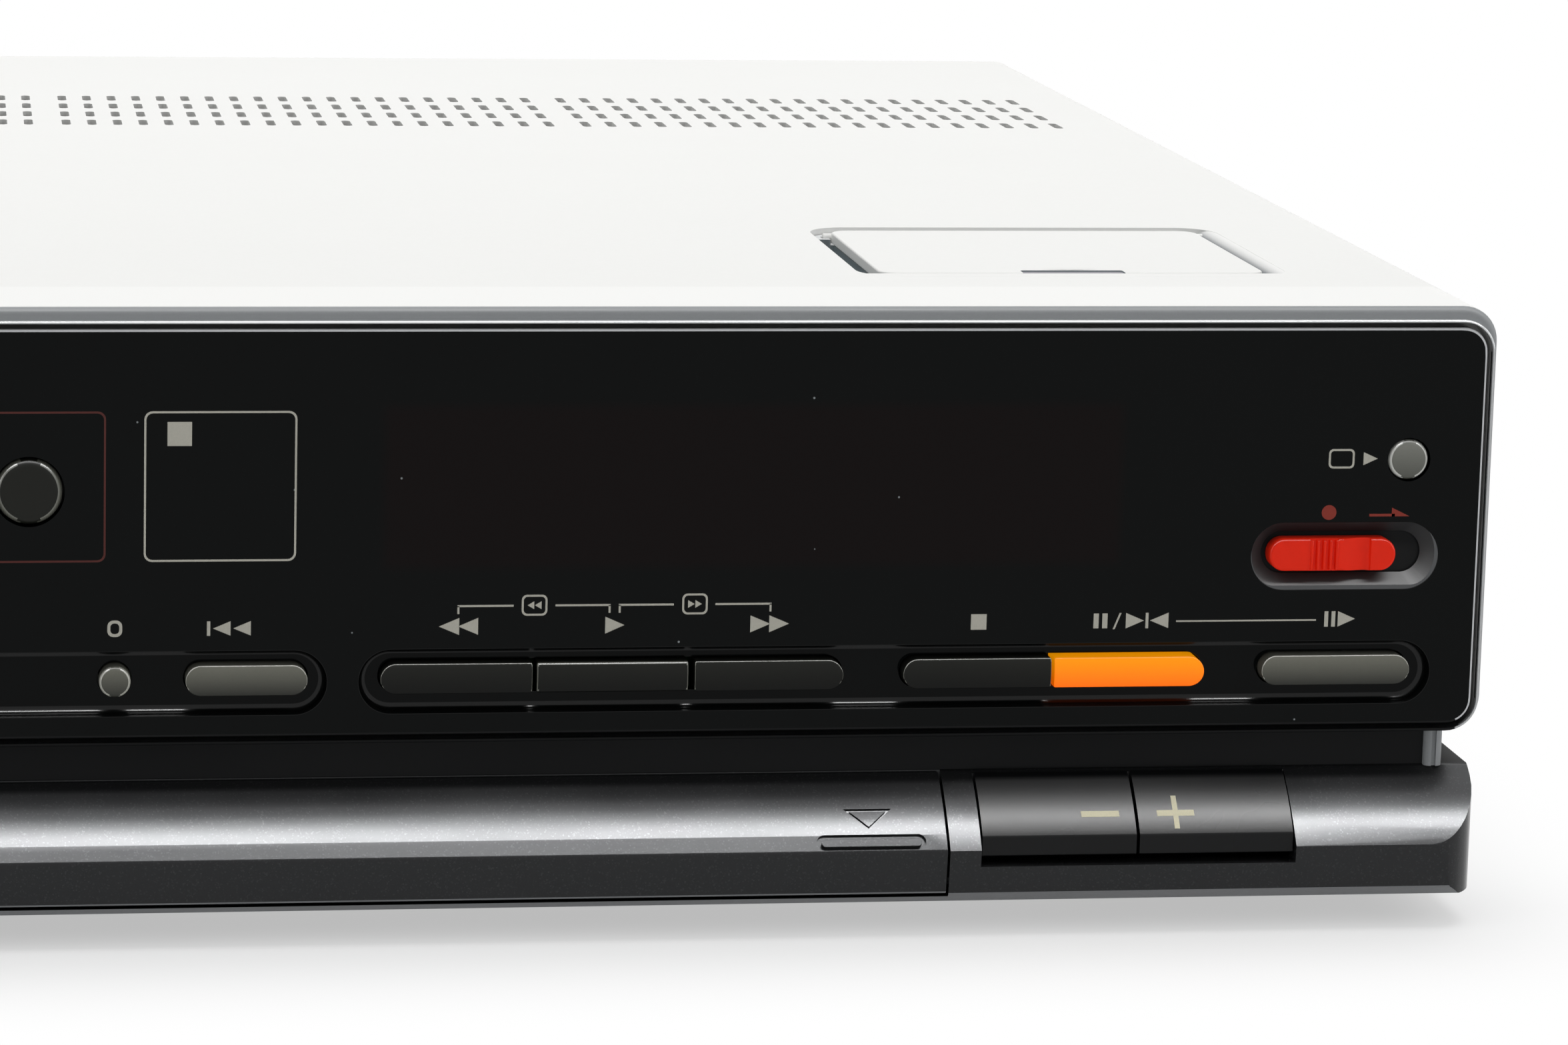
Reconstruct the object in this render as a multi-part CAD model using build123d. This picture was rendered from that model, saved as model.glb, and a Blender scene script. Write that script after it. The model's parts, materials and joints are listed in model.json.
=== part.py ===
from build123d import *
import math
import os

# A slim front-loading video cassette recorder, in millimetres.
# +X is to the right seen from the front, +Y goes to the back, +Z is up.
# The origin is on the floor, under the middle of the recorder.

# Overall size
width = 430.0
height = 96.0
total_depth = 355.0
foot_height = 5.0
lip_reach = 4.0
socket_reach = 9.5

# Sheets, boards and moulded walls
cover_sheet = 1.2
pan_sheet = 1.2
rear_sheet = 1.2
deck_sheet = 1.5
carriage_sheet = 1.5
holder_sheet = 1.0
board_thickness = 1.6
moulding_wall = 2.0

# Clearances
fit_gap = 0.2
button_gap = 0.25
running_gap = 0.3
shaft_gap = 0.05
switch_gap = 0.4

# Upper front block, with the dark window in it
block_bottom = 29.9
frame_depth = 20.0
corner_radius = 5.5
front_round = 0.9
rim_top = 3.2
rim_side = 1.7
rim_bottom = 1.4
window_radius = 3.8
window_thickness = 4.5
window_ledge = 2.0

# Channels that the front buttons stand in
channel_low = 34.6
channel_high = 44.4
channel_depth = 2.5
right_channel = (42.2, 206.5)
left_channel = (-206.5, 37.5)

# Front buttons: name, left edge, right edge, round left end, round right end
button_height = 4.6
button_middle = 39.8
button_travel = 1.2
button_lip = 1.2
lip_thickness = 1.0
stem_radius = 1.5
stem_length = 1.6
row_buttons = [
    ("power_button", -200.0, -177.0, True, True),
    ("eject_button", -160.0, -137.0, True, True),
    ("tape_return_button", 16.5, 34.6, True, True),
    ("rewind_button", 45.5, 68.3, True, False),
    ("play_button", 69.0, 91.9, False, False),
    ("fast_forward_button", 92.9, 115.5, False, True),
    ("stop_button", 124.7, 147.5, True, False),
    ("pause_button", 148.0, 171.2, False, True),
    ("frame_advance_button", 180.2, 203.3, True, True),
]
button_groups = [
    ["power_button"],
    ["eject_button"],
    ["tape_return_button"],
    ["rewind_button", "play_button", "fast_forward_button"],
    ["stop_button", "pause_button"],
    ["frame_advance_button"],
]

# Round front buttons: name, X, Z and radius
round_buttons = [
    ("counter_reset_button", 6.05, 39.8, 2.35),
    ("timer_button", -6.65, 68.6, 5.0),
    ("input_button", 201.7, 72.5, 3.1),
]

# Record slider in its dished recess
slider_left = 180.4
slider_length = 19.7
slider_bottom = 55.5
slider_height = 5.0
slider_travel = 3.7
slider_radius = 1.4
recess_margin_left = 2.7
recess_margin_right = 3.2
recess_margin_low = 3.1
recess_margin_high = 2.4
recess_depth = 2.0
slider_stem_inset = 6.6
slider_stem_length = 6.0
slider_stem_height = 3.0
slider_proud = 1.2

# Front board and display behind the window
board_depth = 13.0
board_span = (-206.0, 210.0)
board_low = 33.8
board_top_gap = 5.8
board_strip_top = 49.0
board_step = -20.0
boss_radius = 2.5
boss_drop = 10.0
switch_side = 6.0
display_span = (40.0, 160.0)
display_drop = 12.0
display_tall = 30.0
display_depth = 7.0
receiver_x = 170.0
receiver_drop = 18.0
receiver_size = 9.0

# Cassette slot, its door and the cassette that goes in
cassette_x = -107.5
cassette_width = 156.0
cassette_length = 96.0
cassette_thickness = 25.0
slot_width = 165.6
slot_drop = 10.8
slot_height = 32.2
slot_radius = 1.2
door_thickness = 2.5
door_pin_radius = 0.9
door_pin_length = 1.5
door_axis_depth = 1.8
door_axis_drop = 1.6

# Cassette holder and the carriage that carries it back and down
holder_rise = 1.5
holder_room = 1.0
holder_headroom = 2.0
holder_lip = 16.0
carriage_start = 34.0
loaded_gap = 4.7
drop_travel = 23.0
side_gap = 0.5
plate_below = 12.5
plate_above = 1.0
bridge_length = 30.0
holder_pin_radius = 2.0
holder_pin_rise = 15.5
holder_pin_inset = 20.0
rail_pin_radius = 2.5
rail_pin_rise = 23.5
rail_pin_inset = 12.0
rail_sheet = 1.5
rail_gap = 1.0
rail_top_gap = 6.0
rail_front = 22.0
rail_end_room = 6.5
spindle_hole = 12.0

# Tape deck
deck_top = 23.5
deck_half_width = 92.0
deck_from_front = 23.5
deck_from_rear = 22.0
pillar_radius = 4.0
pillar_inset = 8.0
drum_from_rear = 78.0
drum_radius = 37.25
lower_drum_top = 43.6
upper_drum_top = 60.0
drum_gap = 0.4
drum_shaft_radius = 3.0
drum_cap_radius = 9.0
ring_inner = 40.0
ring_outer = 50.0
ring_thickness = 3.4
ring_pin_circle = 45.0
ring_pin_radius = 1.8
ring_pin_top = 52.0
ring_pin_angles = [250.0, 290.0]
capstan_from_drum = (62.0, -28.0)
capstan_radius = 2.0
capstan_top = 56.0
flywheel_radius = 24.0
flywheel_low = 8.5
flywheel_thickness = 6.0
housing_radius = 6.0
housing_flange = 9.0
housing_low = 16.0
housing_top = 28.0
pivot_radius = 2.0
pivot_top = 35.0
pinch_from_drum = (77.0, -2.0)
pinch_arm_length = 28.0
pinch_rest_angle = 278.0
pinch_swing = 22.0
arm_low = 30.0
arm_thickness = 2.5
arm_half_width = 3.0
arm_hub_radius = 5.0
roller_radius = 6.0
roller_height = 15.0
roller_pin_radius = 1.5
tension_from_drum = (-60.0, -28.0)
tension_arm_length = 30.0
tension_rest_angle = -20.0
tension_swing = 12.0
arm_pin_top = 50.0
reel_spacing = 72.0
reel_radius = 19.0
reel_flange = 2.5
reel_table_top = 31.0
spindle_radius = 6.0
spindle_top = 41.0
spindle_post_radius = 2.0
spindle_post_top = 38.0
guide_radius = 2.0
guide_collar_radius = 3.4
guide_collar = 1.5
guide_top = 50.0
guides_from_drum = [(-55.0, 22.0), (55.0, 22.0), (-70.0, -40.0), (70.0, -43.5)]
head_width = 8.0
head_length = 12.0
head_top = 46.0
erase_head_from_drum = (-57.5, 2.0)
audio_head_from_drum = (58.0, 2.0)
head_bracket = 2.0
motor_from_drum = (-72.5, 38.0)
motor_radius = 11.0
motor_top = 52.0
motor_boss_radius = 4.0
motor_boss = 3.0

# Lower sill: its curve runs from under the block forward and down to the lip
sill_back_top = 23.5
sill_curve_back = 5.5
sill_curve_top = 23.2
sill_curve_middle = (1.6, 19.9)
lip_height = 13.3
face_foot = (-3.3, 6.4)
sill_floor_front = -2.2
sill_end_radius = 8.0
neck_front = 6.0
neck_inset = 5.5
pocket_back = 9.5
sill_door_left = -205.0
sill_door_right = 132.0
sill_door_gap = 0.4
hinge_back = -2.0
hinge_height = 8.2
hinge_pin_radius = 0.7
hinge_pin_length = 3.0
hinge_hole_gap = 0.1
door_wall = 2.0

# Programme keys in the fixed right part of the sill
key_spans = [("program_minus_key", 137.1, 161.0), ("program_plus_key", 161.5, 185.4)]
key_travel = 1.0
key_proud = 0.4
key_foot = 12.1
key_setback = 1.1
key_back = 4.9
key_gap = 0.3
key_stem_radius = 2.0
key_room = 1.4

# Controls behind the drop-down door
control_height = 14.5
knob_x = 60.0
knob_radius = 5.0
knob_reach = 5.0
knob_shaft_radius = 2.0
switch_x = 95.0
switch_length = 8.0
switch_height = 3.2
switch_reach = 2.5
switch_travel = 4.0
control_flange = 1.2

# Lid in the top, over the tuning controls
lid_span = (126.0, 187.7)
lid_front = 34.0
lid_back = 80.6
lid_thickness = 1.6
lid_radius = 3.0
lid_gap = 0.3
lid_pin_radius = 0.8
lid_pin_length = 1.2
lid_pin_drop = 1.1
tray_border = 3.5
tray_sink = 1.0
tray_depth = 14.0
tray_wall = 1.5
tray_ledge = 2.5
notch_width = 16.6
notch_depth = 3.0
wheel_at = (150.0, 58.0)
wheel_radius = 7.0
wheel_height = 4.0
wheel_shaft_radius = 1.5

# Vent slots in the top: four groups across, in rows
slot_pitch = 4.9
slot_first = 3.6
slots_per_group = 20
group_gap = 7.2
slot_row_first = 225.2
slot_row_pitch = 13.3
slot_rows = 4
slot_length = 8.0
slot_breadth = 1.7

# Pan, feet, screws and boards
pan_flange = 12.0
cover_foot = 7.0
return_flange = 5.2
foot_radius = 11.0
foot_side_inset = 35.0
foot_from_front = 38.5
foot_from_rear = 28.0
screw_head_radius = 3.5
screw_head = 2.2
screw_radius = 1.5
screw_reach = 6.0
screw_drop = 5.0
screw_places = [-190.0, -95.0, 0.0, 95.0, 190.0]
rear_lip = 11.0
rear_lip_half = 206.0
rear_vents = 6
rear_vent_span = (-150.0, -70.0)
rear_vent_low = 62.0
rear_vent_pitch = 3.2
rear_vent_height = 1.4
board_standoff = 14.0
standoff_radius = 3.0
board_side_gap = 9.0
main_board_left = -8.0
main_board_from_front = 25.5
main_board_from_rear = 128.0
power_board_left = 92.0
power_board_from_rear = 18.0
power_board_length = 92.0
board_inset = 6.0
capacitor_radius = 6.0
capacitor_height = 16.0
column_first = 24.0
column_pitch = 38.0
capacitor_row = 22.0
chip_rows = (60.0, 96.0)
smoother_first = 22.0
smoother_pitch = 32.0
smoother_row = 30.0
smoother_radius = 9.0
smoother_height = 32.0
chip_size = (26.0, 12.0, 4.0)
transformer_left = 10.0
transformer_width = 64.0
transformer_length = 56.0
transformer_from_rear = 28.0
transformer_height = 44.0
winding_inset = 8.0
heatsink_inset = 12.0
heatsink_width = 76.0
heatsink_length = 18.0
heatsink_front_inset = 6.0
heatsink_height = 40.0
fin_thickness = 1.5
fin_count = 9
heatsink_back = 3.0
tuner_left = 20.0
tuner_width = 64.0
tuner_length = 40.0
tuner_back_inset = 10.0
tuner_height = 24.0

# Sockets in the rear panel
phono_places = [58.0, 76.0, 94.0, 112.0]
phono_z = 48.0
phono_radius = 4.15
phono_bore = 1.7
phono_bore_depth = 9.0
phono_flange = 6.5
phono_collar = 5.6
aerial_box = (150.0, 200.0)
aerial_low = 30.0
aerial_high = 62.0
aerial_depth = 34.0
aerial_places = [164.0, 186.0]
aerial_radius = 6.5
aerial_bore = 4.8
aerial_pin_radius = 4.75
aerial_z = 46.0
inlet_span = (-200.0, -172.0)
inlet_low = 34.0
inlet_high = 52.0
inlet_depth = 18.0
inlet_wall = 2.5
inlet_pin_radius = 1.2
inlet_pin_spacing = 8.6

# Planes worked out from the sizes above
half = width / 2
panel_y = -total_depth / 2 + lip_reach
rear_y = total_depth / 2 - socket_reach
frame_back = panel_y + frame_depth
pan_top = foot_height + pan_sheet
cover_inner = half - cover_sheet
pan_half = cover_inner - fit_gap
window_half = half - rim_side
window_low = block_bottom + rim_bottom
window_high = height - rim_top
board_y = panel_y + board_depth
board_high = height - board_top_gap
boss_high = height - boss_drop
board_bosses = [(205.0, boss_high), (-15.0, boss_high), (-203.0, 46.8), (-30.0, 46.8), (168.0, 48.0)]
display_high = height - display_drop
display_low = display_high - display_tall
slot_high = height - slot_drop
slot_low = slot_high - slot_height
slider_span = (slider_left, slider_left + slider_length)
slider_low = slider_bottom
slider_high = slider_bottom + slider_height
slider_stem = (slider_left + slider_stem_inset, slider_left + slider_stem_inset + slider_stem_length)
recess_span = (slider_span[0] - recess_margin_left, slider_span[1] + slider_travel + recess_margin_right)
recess_low = slider_low - recess_margin_low
recess_high = slider_high + recess_margin_high
switch_face = panel_y + window_thickness + running_gap + lip_thickness + stem_length + button_travel + switch_gap
holder_y = panel_y + carriage_start
holder_half = cassette_width / 2 + holder_room
holder_outer = holder_half + holder_sheet
holder_length = cassette_length + 2 * holder_room + 2 * holder_sheet
holder_floor = slot_low + holder_rise
holder_top = holder_floor + holder_sheet + cassette_thickness + holder_headroom
holder_end = holder_y + holder_length
drum_y = rear_y - drum_from_rear
carriage_travel = drum_y - ring_pin_circle - ring_pin_radius - loaded_gap - holder_end
reel_y = holder_y + holder_length / 2 + carriage_travel
carriage_inner = holder_outer + side_gap
plate_low = holder_floor - plate_below
plate_high = holder_top + holder_sheet + plate_above + carriage_sheet
rail_top = height - rail_top_gap
rail_end = holder_end + carriage_travel + rail_end_room
deck_front = panel_y + deck_from_front
deck_back = rear_y - deck_from_rear
carriage_outer = carriage_inner + carriage_sheet
rail_inner = carriage_outer + rail_gap
rail_outer = rail_inner + rail_sheet
deck_low = deck_top - deck_sheet
board_top = pan_top + board_standoff + board_thickness
neck_half_width = half - neck_inset
tray_floor = height - tray_depth
lid_axis_y = panel_y + lid_back - 1.5
lid_axis_z = height - lid_pin_drop
receiver_at = (receiver_x, height - receiver_drop)
slot_door_axis = (panel_y + door_axis_depth, slot_high - door_axis_drop)
sill_hinge = (panel_y + hinge_back, hinge_height)
ring_low = deck_top + running_gap
tray_inner = (lid_span[0] + tray_ledge, lid_span[1] - tray_ledge)
housing_bore = capstan_radius + shaft_gap
capstan_at = (cassette_x + capstan_from_drum[0], drum_y + capstan_from_drum[1])
pinch_pivot = (cassette_x + pinch_from_drum[0], drum_y + pinch_from_drum[1])
tension_pivot = (cassette_x + tension_from_drum[0], drum_y + tension_from_drum[1])
erase_head_at = (cassette_x + erase_head_from_drum[0], drum_y + erase_head_from_drum[1])
audio_head_at = (cassette_x + audio_head_from_drum[0], drum_y + audio_head_from_drum[1])
motor_at = (cassette_x + motor_from_drum[0], drum_y + motor_from_drum[1])
guide_places = [(cassette_x + x, drum_y + y) for x, y in guides_from_drum]
foot_half = half - foot_side_inset
foot_rows = (panel_y + foot_from_front, rear_y - foot_from_rear)
foot_places = [(x, y) for y in foot_rows for x in (-foot_half, foot_half)]
board_right = half - board_side_gap
main_board_back = rear_y - main_board_from_rear
main_board_box = (main_board_left, board_right, panel_y + main_board_from_front, main_board_back)
power_board_back = rear_y - power_board_from_rear
power_board_front = power_board_back - power_board_length
power_board_box = (power_board_left, board_right, power_board_front, power_board_back)
transformer_back = rear_y - transformer_from_rear
transformer_front = transformer_back - transformer_length
transformer_box = (transformer_left, transformer_left + transformer_width, transformer_front, transformer_back)
heatsink_left = power_board_left + heatsink_inset
heatsink_front = power_board_front + heatsink_front_inset
heatsink_box = (heatsink_left, heatsink_left + heatsink_width, heatsink_front, heatsink_front + heatsink_length)
tuner_back = main_board_back - tuner_back_inset
tuner_box = (tuner_left, tuner_left + tuner_width, tuner_back - tuner_length, tuner_back)


# Building blocks

def block(x0, x1, y0, y1, z0, z1):
    """A box between two corners."""
    centre = Pos((x0 + x1) / 2, (y0 + y1) / 2, (z0 + z1) / 2)
    return centre * Box(x1 - x0, y1 - y0, z1 - z0)


def plate_x(sketch, x0, x1):
    """A sketch in Y and Z, as thick as x0 to x1."""
    plane = Plane(origin=(x0, 0, 0), x_dir=(0, 1, 0), z_dir=(1, 0, 0))
    return extrude(plane * sketch, amount=x1 - x0)


def plate_y(sketch, y0, y1):
    """A sketch in X and Z, as thick as y0 to y1."""
    plane = Plane(origin=(0, y1, 0), x_dir=(1, 0, 0), z_dir=(0, -1, 0))
    return extrude(plane * sketch, amount=y1 - y0)


def plate_z(sketch, z0, z1):
    """A sketch in X and Y, as thick as z0 to z1."""
    return extrude(Pos(0, 0, z0) * sketch, amount=z1 - z0)


def rod_x(y, z, radius, x0, x1):
    """A round bar along X."""
    return plate_x(Pos(y, z) * Circle(radius), x0, x1)


def rod_y(x, z, radius, y0, y1):
    """A round bar along Y."""
    return plate_y(Pos(x, z) * Circle(radius), y0, y1)


def rod_z(x, y, radius, z0, z1):
    """A round bar along Z."""
    return plate_z(Pos(x, y) * Circle(radius), z0, z1)


def area(x0, x1, y0, y1, radius=0.0):
    """A flat rectangle between two corners, with round corners if asked."""
    shape = Rectangle(x1 - x0, y1 - y0)
    if radius:
        shape = RectangleRounded(x1 - x0, y1 - y0, radius)
    return Pos((x0 + x1) / 2, (y0 + y1) / 2) * shape


def pill(x0, x1, y0, y1):
    """A flat shape with two fully round ends."""
    return Pos((x0 + x1) / 2, (y0 + y1) / 2) * SlotOverall(x1 - x0, y1 - y0)


def outline(points):
    """A closed flat shape through its corners."""
    return make_face(Polyline(*points, close=True))


# Front block

def block_outline(grow=0.0):
    """The upper front block seen from the front."""
    return area(-half - grow, half + grow, block_bottom - grow, height + grow, corner_radius + grow)


def window_outline(grow=0.0):
    """The dark window seen from the front."""
    low = window_low - grow
    high = window_high + grow
    return area(-window_half - grow, window_half + grow, low, high, window_radius + grow)


def make_front_frame():
    """Silver moulding that holds the window, with a ledge behind it."""
    frame = plate_y(block_outline(), panel_y, frame_back)
    frame -= plate_y(window_outline(-window_ledge), panel_y - 1, frame_back + 1)
    frame -= plate_y(window_outline(fit_gap), panel_y - 1, panel_y + window_thickness + fit_gap)
    face = frame.faces().filter_by(Axis.Y).sort_by(Axis.Y)[0]
    return fillet(face.outer_wire().edges(), front_round)


def cap_outline(x0, x1, round_left, round_right, grow=0.0):
    """A front button seen from the front."""
    low = button_middle - button_height / 2 - grow
    high = button_middle + button_height / 2 + grow
    x0 -= grow
    x1 += grow
    if round_left and round_right:
        return pill(x0, x1, low, high)
    shape = area(x0, x1, low, high)
    reach = high - low
    if round_left:
        shape = area(x0 + reach, x1, low, high) + pill(x0, x1 - 1, low, high)
    if round_right:
        shape = area(x0, x1 - reach, low, high) + pill(x0 + 1, x1, low, high)
    return shape


def button_edges(name):
    """Left and right edge of one button in the row."""
    for row in row_buttons:
        if row[0] == name:
            return row[1], row[2]
    raise ValueError(name)


def make_front_window():
    """Glossy window with channels, button ways, slider recess and cassette slot."""
    back = panel_y + window_thickness
    window = plate_y(window_outline(), panel_y, back)
    for x, z in board_bosses:
        window += rod_y(x, z, boss_radius, back - 1, board_y)
    for x0, x1 in (right_channel, left_channel):
        window -= plate_y(pill(x0, x1, channel_low, channel_high), panel_y - 1, panel_y + channel_depth)
    for group in button_groups:
        x0 = button_edges(group[0])[0]
        x1 = button_edges(group[-1])[1]
        way = cap_outline(x0, x1, True, True, button_gap)
        window -= plate_y(way, panel_y, back + 1)
    for name, x, z, radius in round_buttons:
        window -= rod_y(x, z, radius + button_gap, panel_y - 1, back + 1)
    recess = pill(recess_span[0], recess_span[1], recess_low, recess_high)
    window -= plate_y(recess, panel_y - 1, panel_y + recess_depth)
    window -= slider_way(panel_y, back + 1)
    slot = area(cassette_x - slot_width / 2, cassette_x + slot_width / 2, slot_low, slot_high, slot_radius)
    window -= plate_y(slot, panel_y - 1, back + 1)
    reach = slot_width / 2 + door_pin_length + running_gap
    pin_hole = door_pin_radius + running_gap / 3
    y, z = slot_door_axis
    window -= rod_x(y, z, pin_hole, cassette_x - reach, cassette_x + reach)
    return window


def slider_way(y0, y1):
    """Slot that the record slider's stem moves in."""
    middle = (slider_low + slider_high) / 2
    reach = slider_stem_height / 2 + button_gap
    x0 = slider_stem[0] - button_gap
    x1 = slider_stem[1] + slider_travel + button_gap
    return plate_y(area(x0, x1, middle - reach, middle + reach), y0, y1)


def make_row_button(x0, x1, round_left, round_right):
    """One front button with its cap, retaining lip and stem."""
    lip_y = panel_y + window_thickness + running_gap
    cap = plate_y(cap_outline(x0, x1, round_left, round_right), panel_y, lip_y)
    side = button_height / 2
    low = button_middle - side - button_lip
    high = button_middle + side + button_lip
    cap += block(x0 + side, x1 - side, lip_y, lip_y + lip_thickness, low, high)
    stem_back = lip_y + lip_thickness + stem_length
    cap += rod_y((x0 + x1) / 2, button_middle, stem_radius, lip_y, stem_back)
    return cap


def make_round_button(x, z, radius):
    """One round front button with its lip and stem."""
    lip_y = panel_y + window_thickness + running_gap
    button = rod_y(x, z, radius, panel_y, lip_y)
    button += rod_y(x, z, radius + button_lip, lip_y, lip_y + lip_thickness)
    button += rod_y(x, z, stem_radius, lip_y, lip_y + lip_thickness + stem_length)
    return button


def make_record_slider():
    """Red sliding key with grip ribs, held by a foot behind the window."""
    floor = panel_y + recess_depth - running_gap
    face = panel_y - slider_proud
    middle = (slider_low + slider_high) / 2
    slider = plate_y(area(slider_span[0], slider_span[1], slider_low, slider_high, slider_radius), face, floor)
    reach = slider_stem_height / 2
    foot_y = panel_y + window_thickness + running_gap
    low = middle - reach
    high = middle + reach
    slider += block(slider_stem[0], slider_stem[1], floor - 1, foot_y + lip_thickness, low, high)
    foot = button_lip + button_gap
    slider += block(slider_stem[0], slider_stem[1], foot_y, foot_y + lip_thickness, low - foot, high + foot)
    return slider


def make_front_board():
    """Board behind the window with its switches and the remote receiver."""
    shape = outline([
        (board_span[0], board_low),
        (board_span[1], board_low),
        (board_span[1], board_high),
        (board_step, board_high),
        (board_step, board_strip_top),
        (board_span[0], board_strip_top),
    ])
    solids = [plate_y(shape, board_y, board_y + board_thickness)]
    for name, x0, x1, round_left, round_right in row_buttons:
        solids.append(board_switch((x0 + x1) / 2, button_middle))
    for name, x, z, radius in round_buttons:
        solids.append(board_switch(x, z))
    return Compound(children=solids)


def board_switch(x, z):
    """A small push switch soldered to the front board."""
    side = switch_side / 2
    return block(x - side, x + side, switch_face, board_y, z - side, z + side)


def make_remote_receiver():
    """Screened infra-red receiver on the front board."""
    x, z = receiver_at
    side = receiver_size / 2
    face = panel_y + window_thickness + fit_gap
    can = block(x - side, x + side, face + 2, board_y, z - side, z + side)
    return can + rod_y(x, z, side * 0.6, face, face + 2.5)


def make_display_tube():
    """Flat display tube with its glass face behind the window."""
    face = board_y - display_depth
    tube = block(display_span[0], display_span[1], face, board_y - 1.5, display_low, display_high)
    foot = block(display_span[0] + 4, display_span[1] - 4, board_y - 1.5, board_y, display_low + 6, display_high - 6)
    return tube + foot


def make_cassette_door():
    """Flap that closes the cassette slot and swings inward at its top."""
    x0 = cassette_x - slot_width / 2 + running_gap
    x1 = cassette_x + slot_width / 2 - running_gap
    door = plate_y(area(x0, x1, slot_low + running_gap, slot_high - running_gap * 1.5, slot_radius), panel_y,
                   panel_y + door_thickness)
    y, z = slot_door_axis
    return door + rod_x(y, z, door_pin_radius, x0 - door_pin_length, x1 + door_pin_length)


# Lower sill

def sill_outline(grow=0.0):
    """Side view of the sill from its back to the lip and down to the floor line."""
    curve_start = (panel_y + sill_curve_back, sill_curve_top + grow)
    curve_middle = (panel_y + sill_curve_middle[0] - grow * 0.7, sill_curve_middle[1] + grow * 0.7)
    lip = (panel_y - lip_reach, lip_height)
    foot = (panel_y + face_foot[0], face_foot[1])
    floor = (panel_y + sill_floor_front, foot_height)
    lines = [
        ThreePointArc(curve_start, curve_middle, lip),
        Line(lip, foot),
        Line(foot, floor),
        Line(floor, (frame_back, foot_height)),
        Line((frame_back, foot_height), (frame_back, sill_back_top)),
        Line((frame_back, sill_back_top), (panel_y + neck_front, sill_back_top)),
        Line((panel_y + neck_front, sill_back_top), curve_start),
    ]
    return make_face(Wire(lines))


def sill_plan(grow=0.0):
    """The sill seen from above, with its round front corners."""
    front = panel_y - lip_reach
    shape = area(-half + grow, half - grow, front + grow, front + frame_depth * 3, sill_end_radius - grow)
    return plate_z(shape, 0, height)


def make_front_sill():
    """Fixed lower front: neck, right end with key ways, and the pocket behind the door."""
    sill = plate_x(sill_outline(), -half, half) & sill_plan()
    wall = moulding_wall
    inner_front = panel_y + sill_curve_back - wall
    hollow = block(-half + wall, half - wall, inner_front, frame_back - wall, foot_height + wall, sill_back_top - wall)
    lower = block(-half + 4 * wall, half - 4 * wall, panel_y, inner_front + 1, foot_height + wall, lip_height)
    sill -= hollow + lower
    x0 = sill_door_left
    x1 = sill_door_right
    pocket_floor = foot_height + pan_sheet
    sill += block(x0, x1, panel_y + pocket_back, panel_y + pocket_back + wall, pocket_floor, sill_back_top)
    sill += block(x0 - wall, x0, panel_y, frame_back - 1, foot_height, lip_height)
    inner_wall = block(x1, x1 + wall, panel_y, frame_back - 1, foot_height, sill_back_top)
    sill += inner_wall & plate_x(sill_outline(), x1, x1 + wall)
    front = panel_y - lip_reach - 1
    door_back = panel_y + sill_curve_back + sill_door_gap
    sill -= block(x0, x1, front, door_back, pocket_floor, sill_back_top + 1)
    sill -= block(x0, x1, front, panel_y + pocket_back, pocket_floor, sill_back_top - wall)
    sill += block(-neck_half_width, neck_half_width, panel_y + neck_front, panel_y + neck_front + wall,
                  sill_back_top - 1, block_bottom)
    sill += block(-neck_half_width, neck_half_width, panel_y + neck_front, frame_back,
                  block_bottom - wall, block_bottom)
    key_left = key_spans[0][1] - key_gap
    key_right = key_spans[1][2] + key_gap
    sill -= block(key_left, key_right, front, panel_y + key_back + key_gap, key_foot - key_room, sill_back_top + 1)
    y, z = sill_hinge
    foot_turn = math.hypot(y - panel_y - face_foot[0], z - face_foot[1])
    sill -= rod_x(y, z, foot_turn + fit_gap, x0, x1)
    hole = hinge_pin_radius + hinge_hole_gap
    sill -= rod_x(y, z, hole, x0 - hinge_pin_length - running_gap, x0 + 1)
    sill -= rod_x(y, z, hole, x1 - 1, x1 + hinge_pin_length + running_gap)
    knob_hole = knob_shaft_radius + shaft_gap
    sill -= rod_y(knob_x, control_height, knob_hole, panel_y, panel_y + pocket_back + wall + 1)
    reach = switch_length / 4 + button_gap
    rise = switch_height / 2 - 0.6 + button_gap
    sill -= block(switch_x - reach, switch_x + reach + switch_travel, panel_y + pocket_back - 1,
                  panel_y + pocket_back + wall + 1, control_height - rise, control_height + rise)
    return sill


def make_front_door():
    """Drop-down door over the front controls, curved like the sill beside it."""
    x0 = sill_door_left + sill_door_gap
    x1 = sill_door_right - sill_door_gap
    door = plate_x(sill_outline(), x0, x1) & sill_plan()
    low = foot_height + pan_sheet + running_gap
    door -= block(x0 - 1, x1 + 1, panel_y - 20, frame_back + 1, 0, low)
    door -= block(x0 - 1, x1 + 1, panel_y + sill_curve_back, frame_back + 1, 0, height)
    inner = Wire([
        ThreePointArc(
            (panel_y + sill_curve_back, sill_curve_top - door_wall),
            (panel_y + sill_curve_middle[0] + 1.5, sill_curve_middle[1] - 1.5),
            (panel_y - lip_reach + door_wall + 0.9, lip_height - 1.2),
        ),
        Line(
            (panel_y - lip_reach + door_wall + 0.9, lip_height - 1.2),
            (panel_y + face_foot[0] + door_wall + 0.6, 0),
        ),
        Line((panel_y + face_foot[0] + door_wall + 0.6, 0), (panel_y + sill_curve_back, 0)),
        Line((panel_y + sill_curve_back, 0), (panel_y + sill_curve_back, sill_curve_top - door_wall)),
    ])
    door -= plate_x(make_face(inner), x0 - 1, x1 + 1)
    y, z = sill_hinge
    return door + rod_x(y, z, hinge_pin_radius, x0 - hinge_pin_length, x1 + hinge_pin_length)


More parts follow.
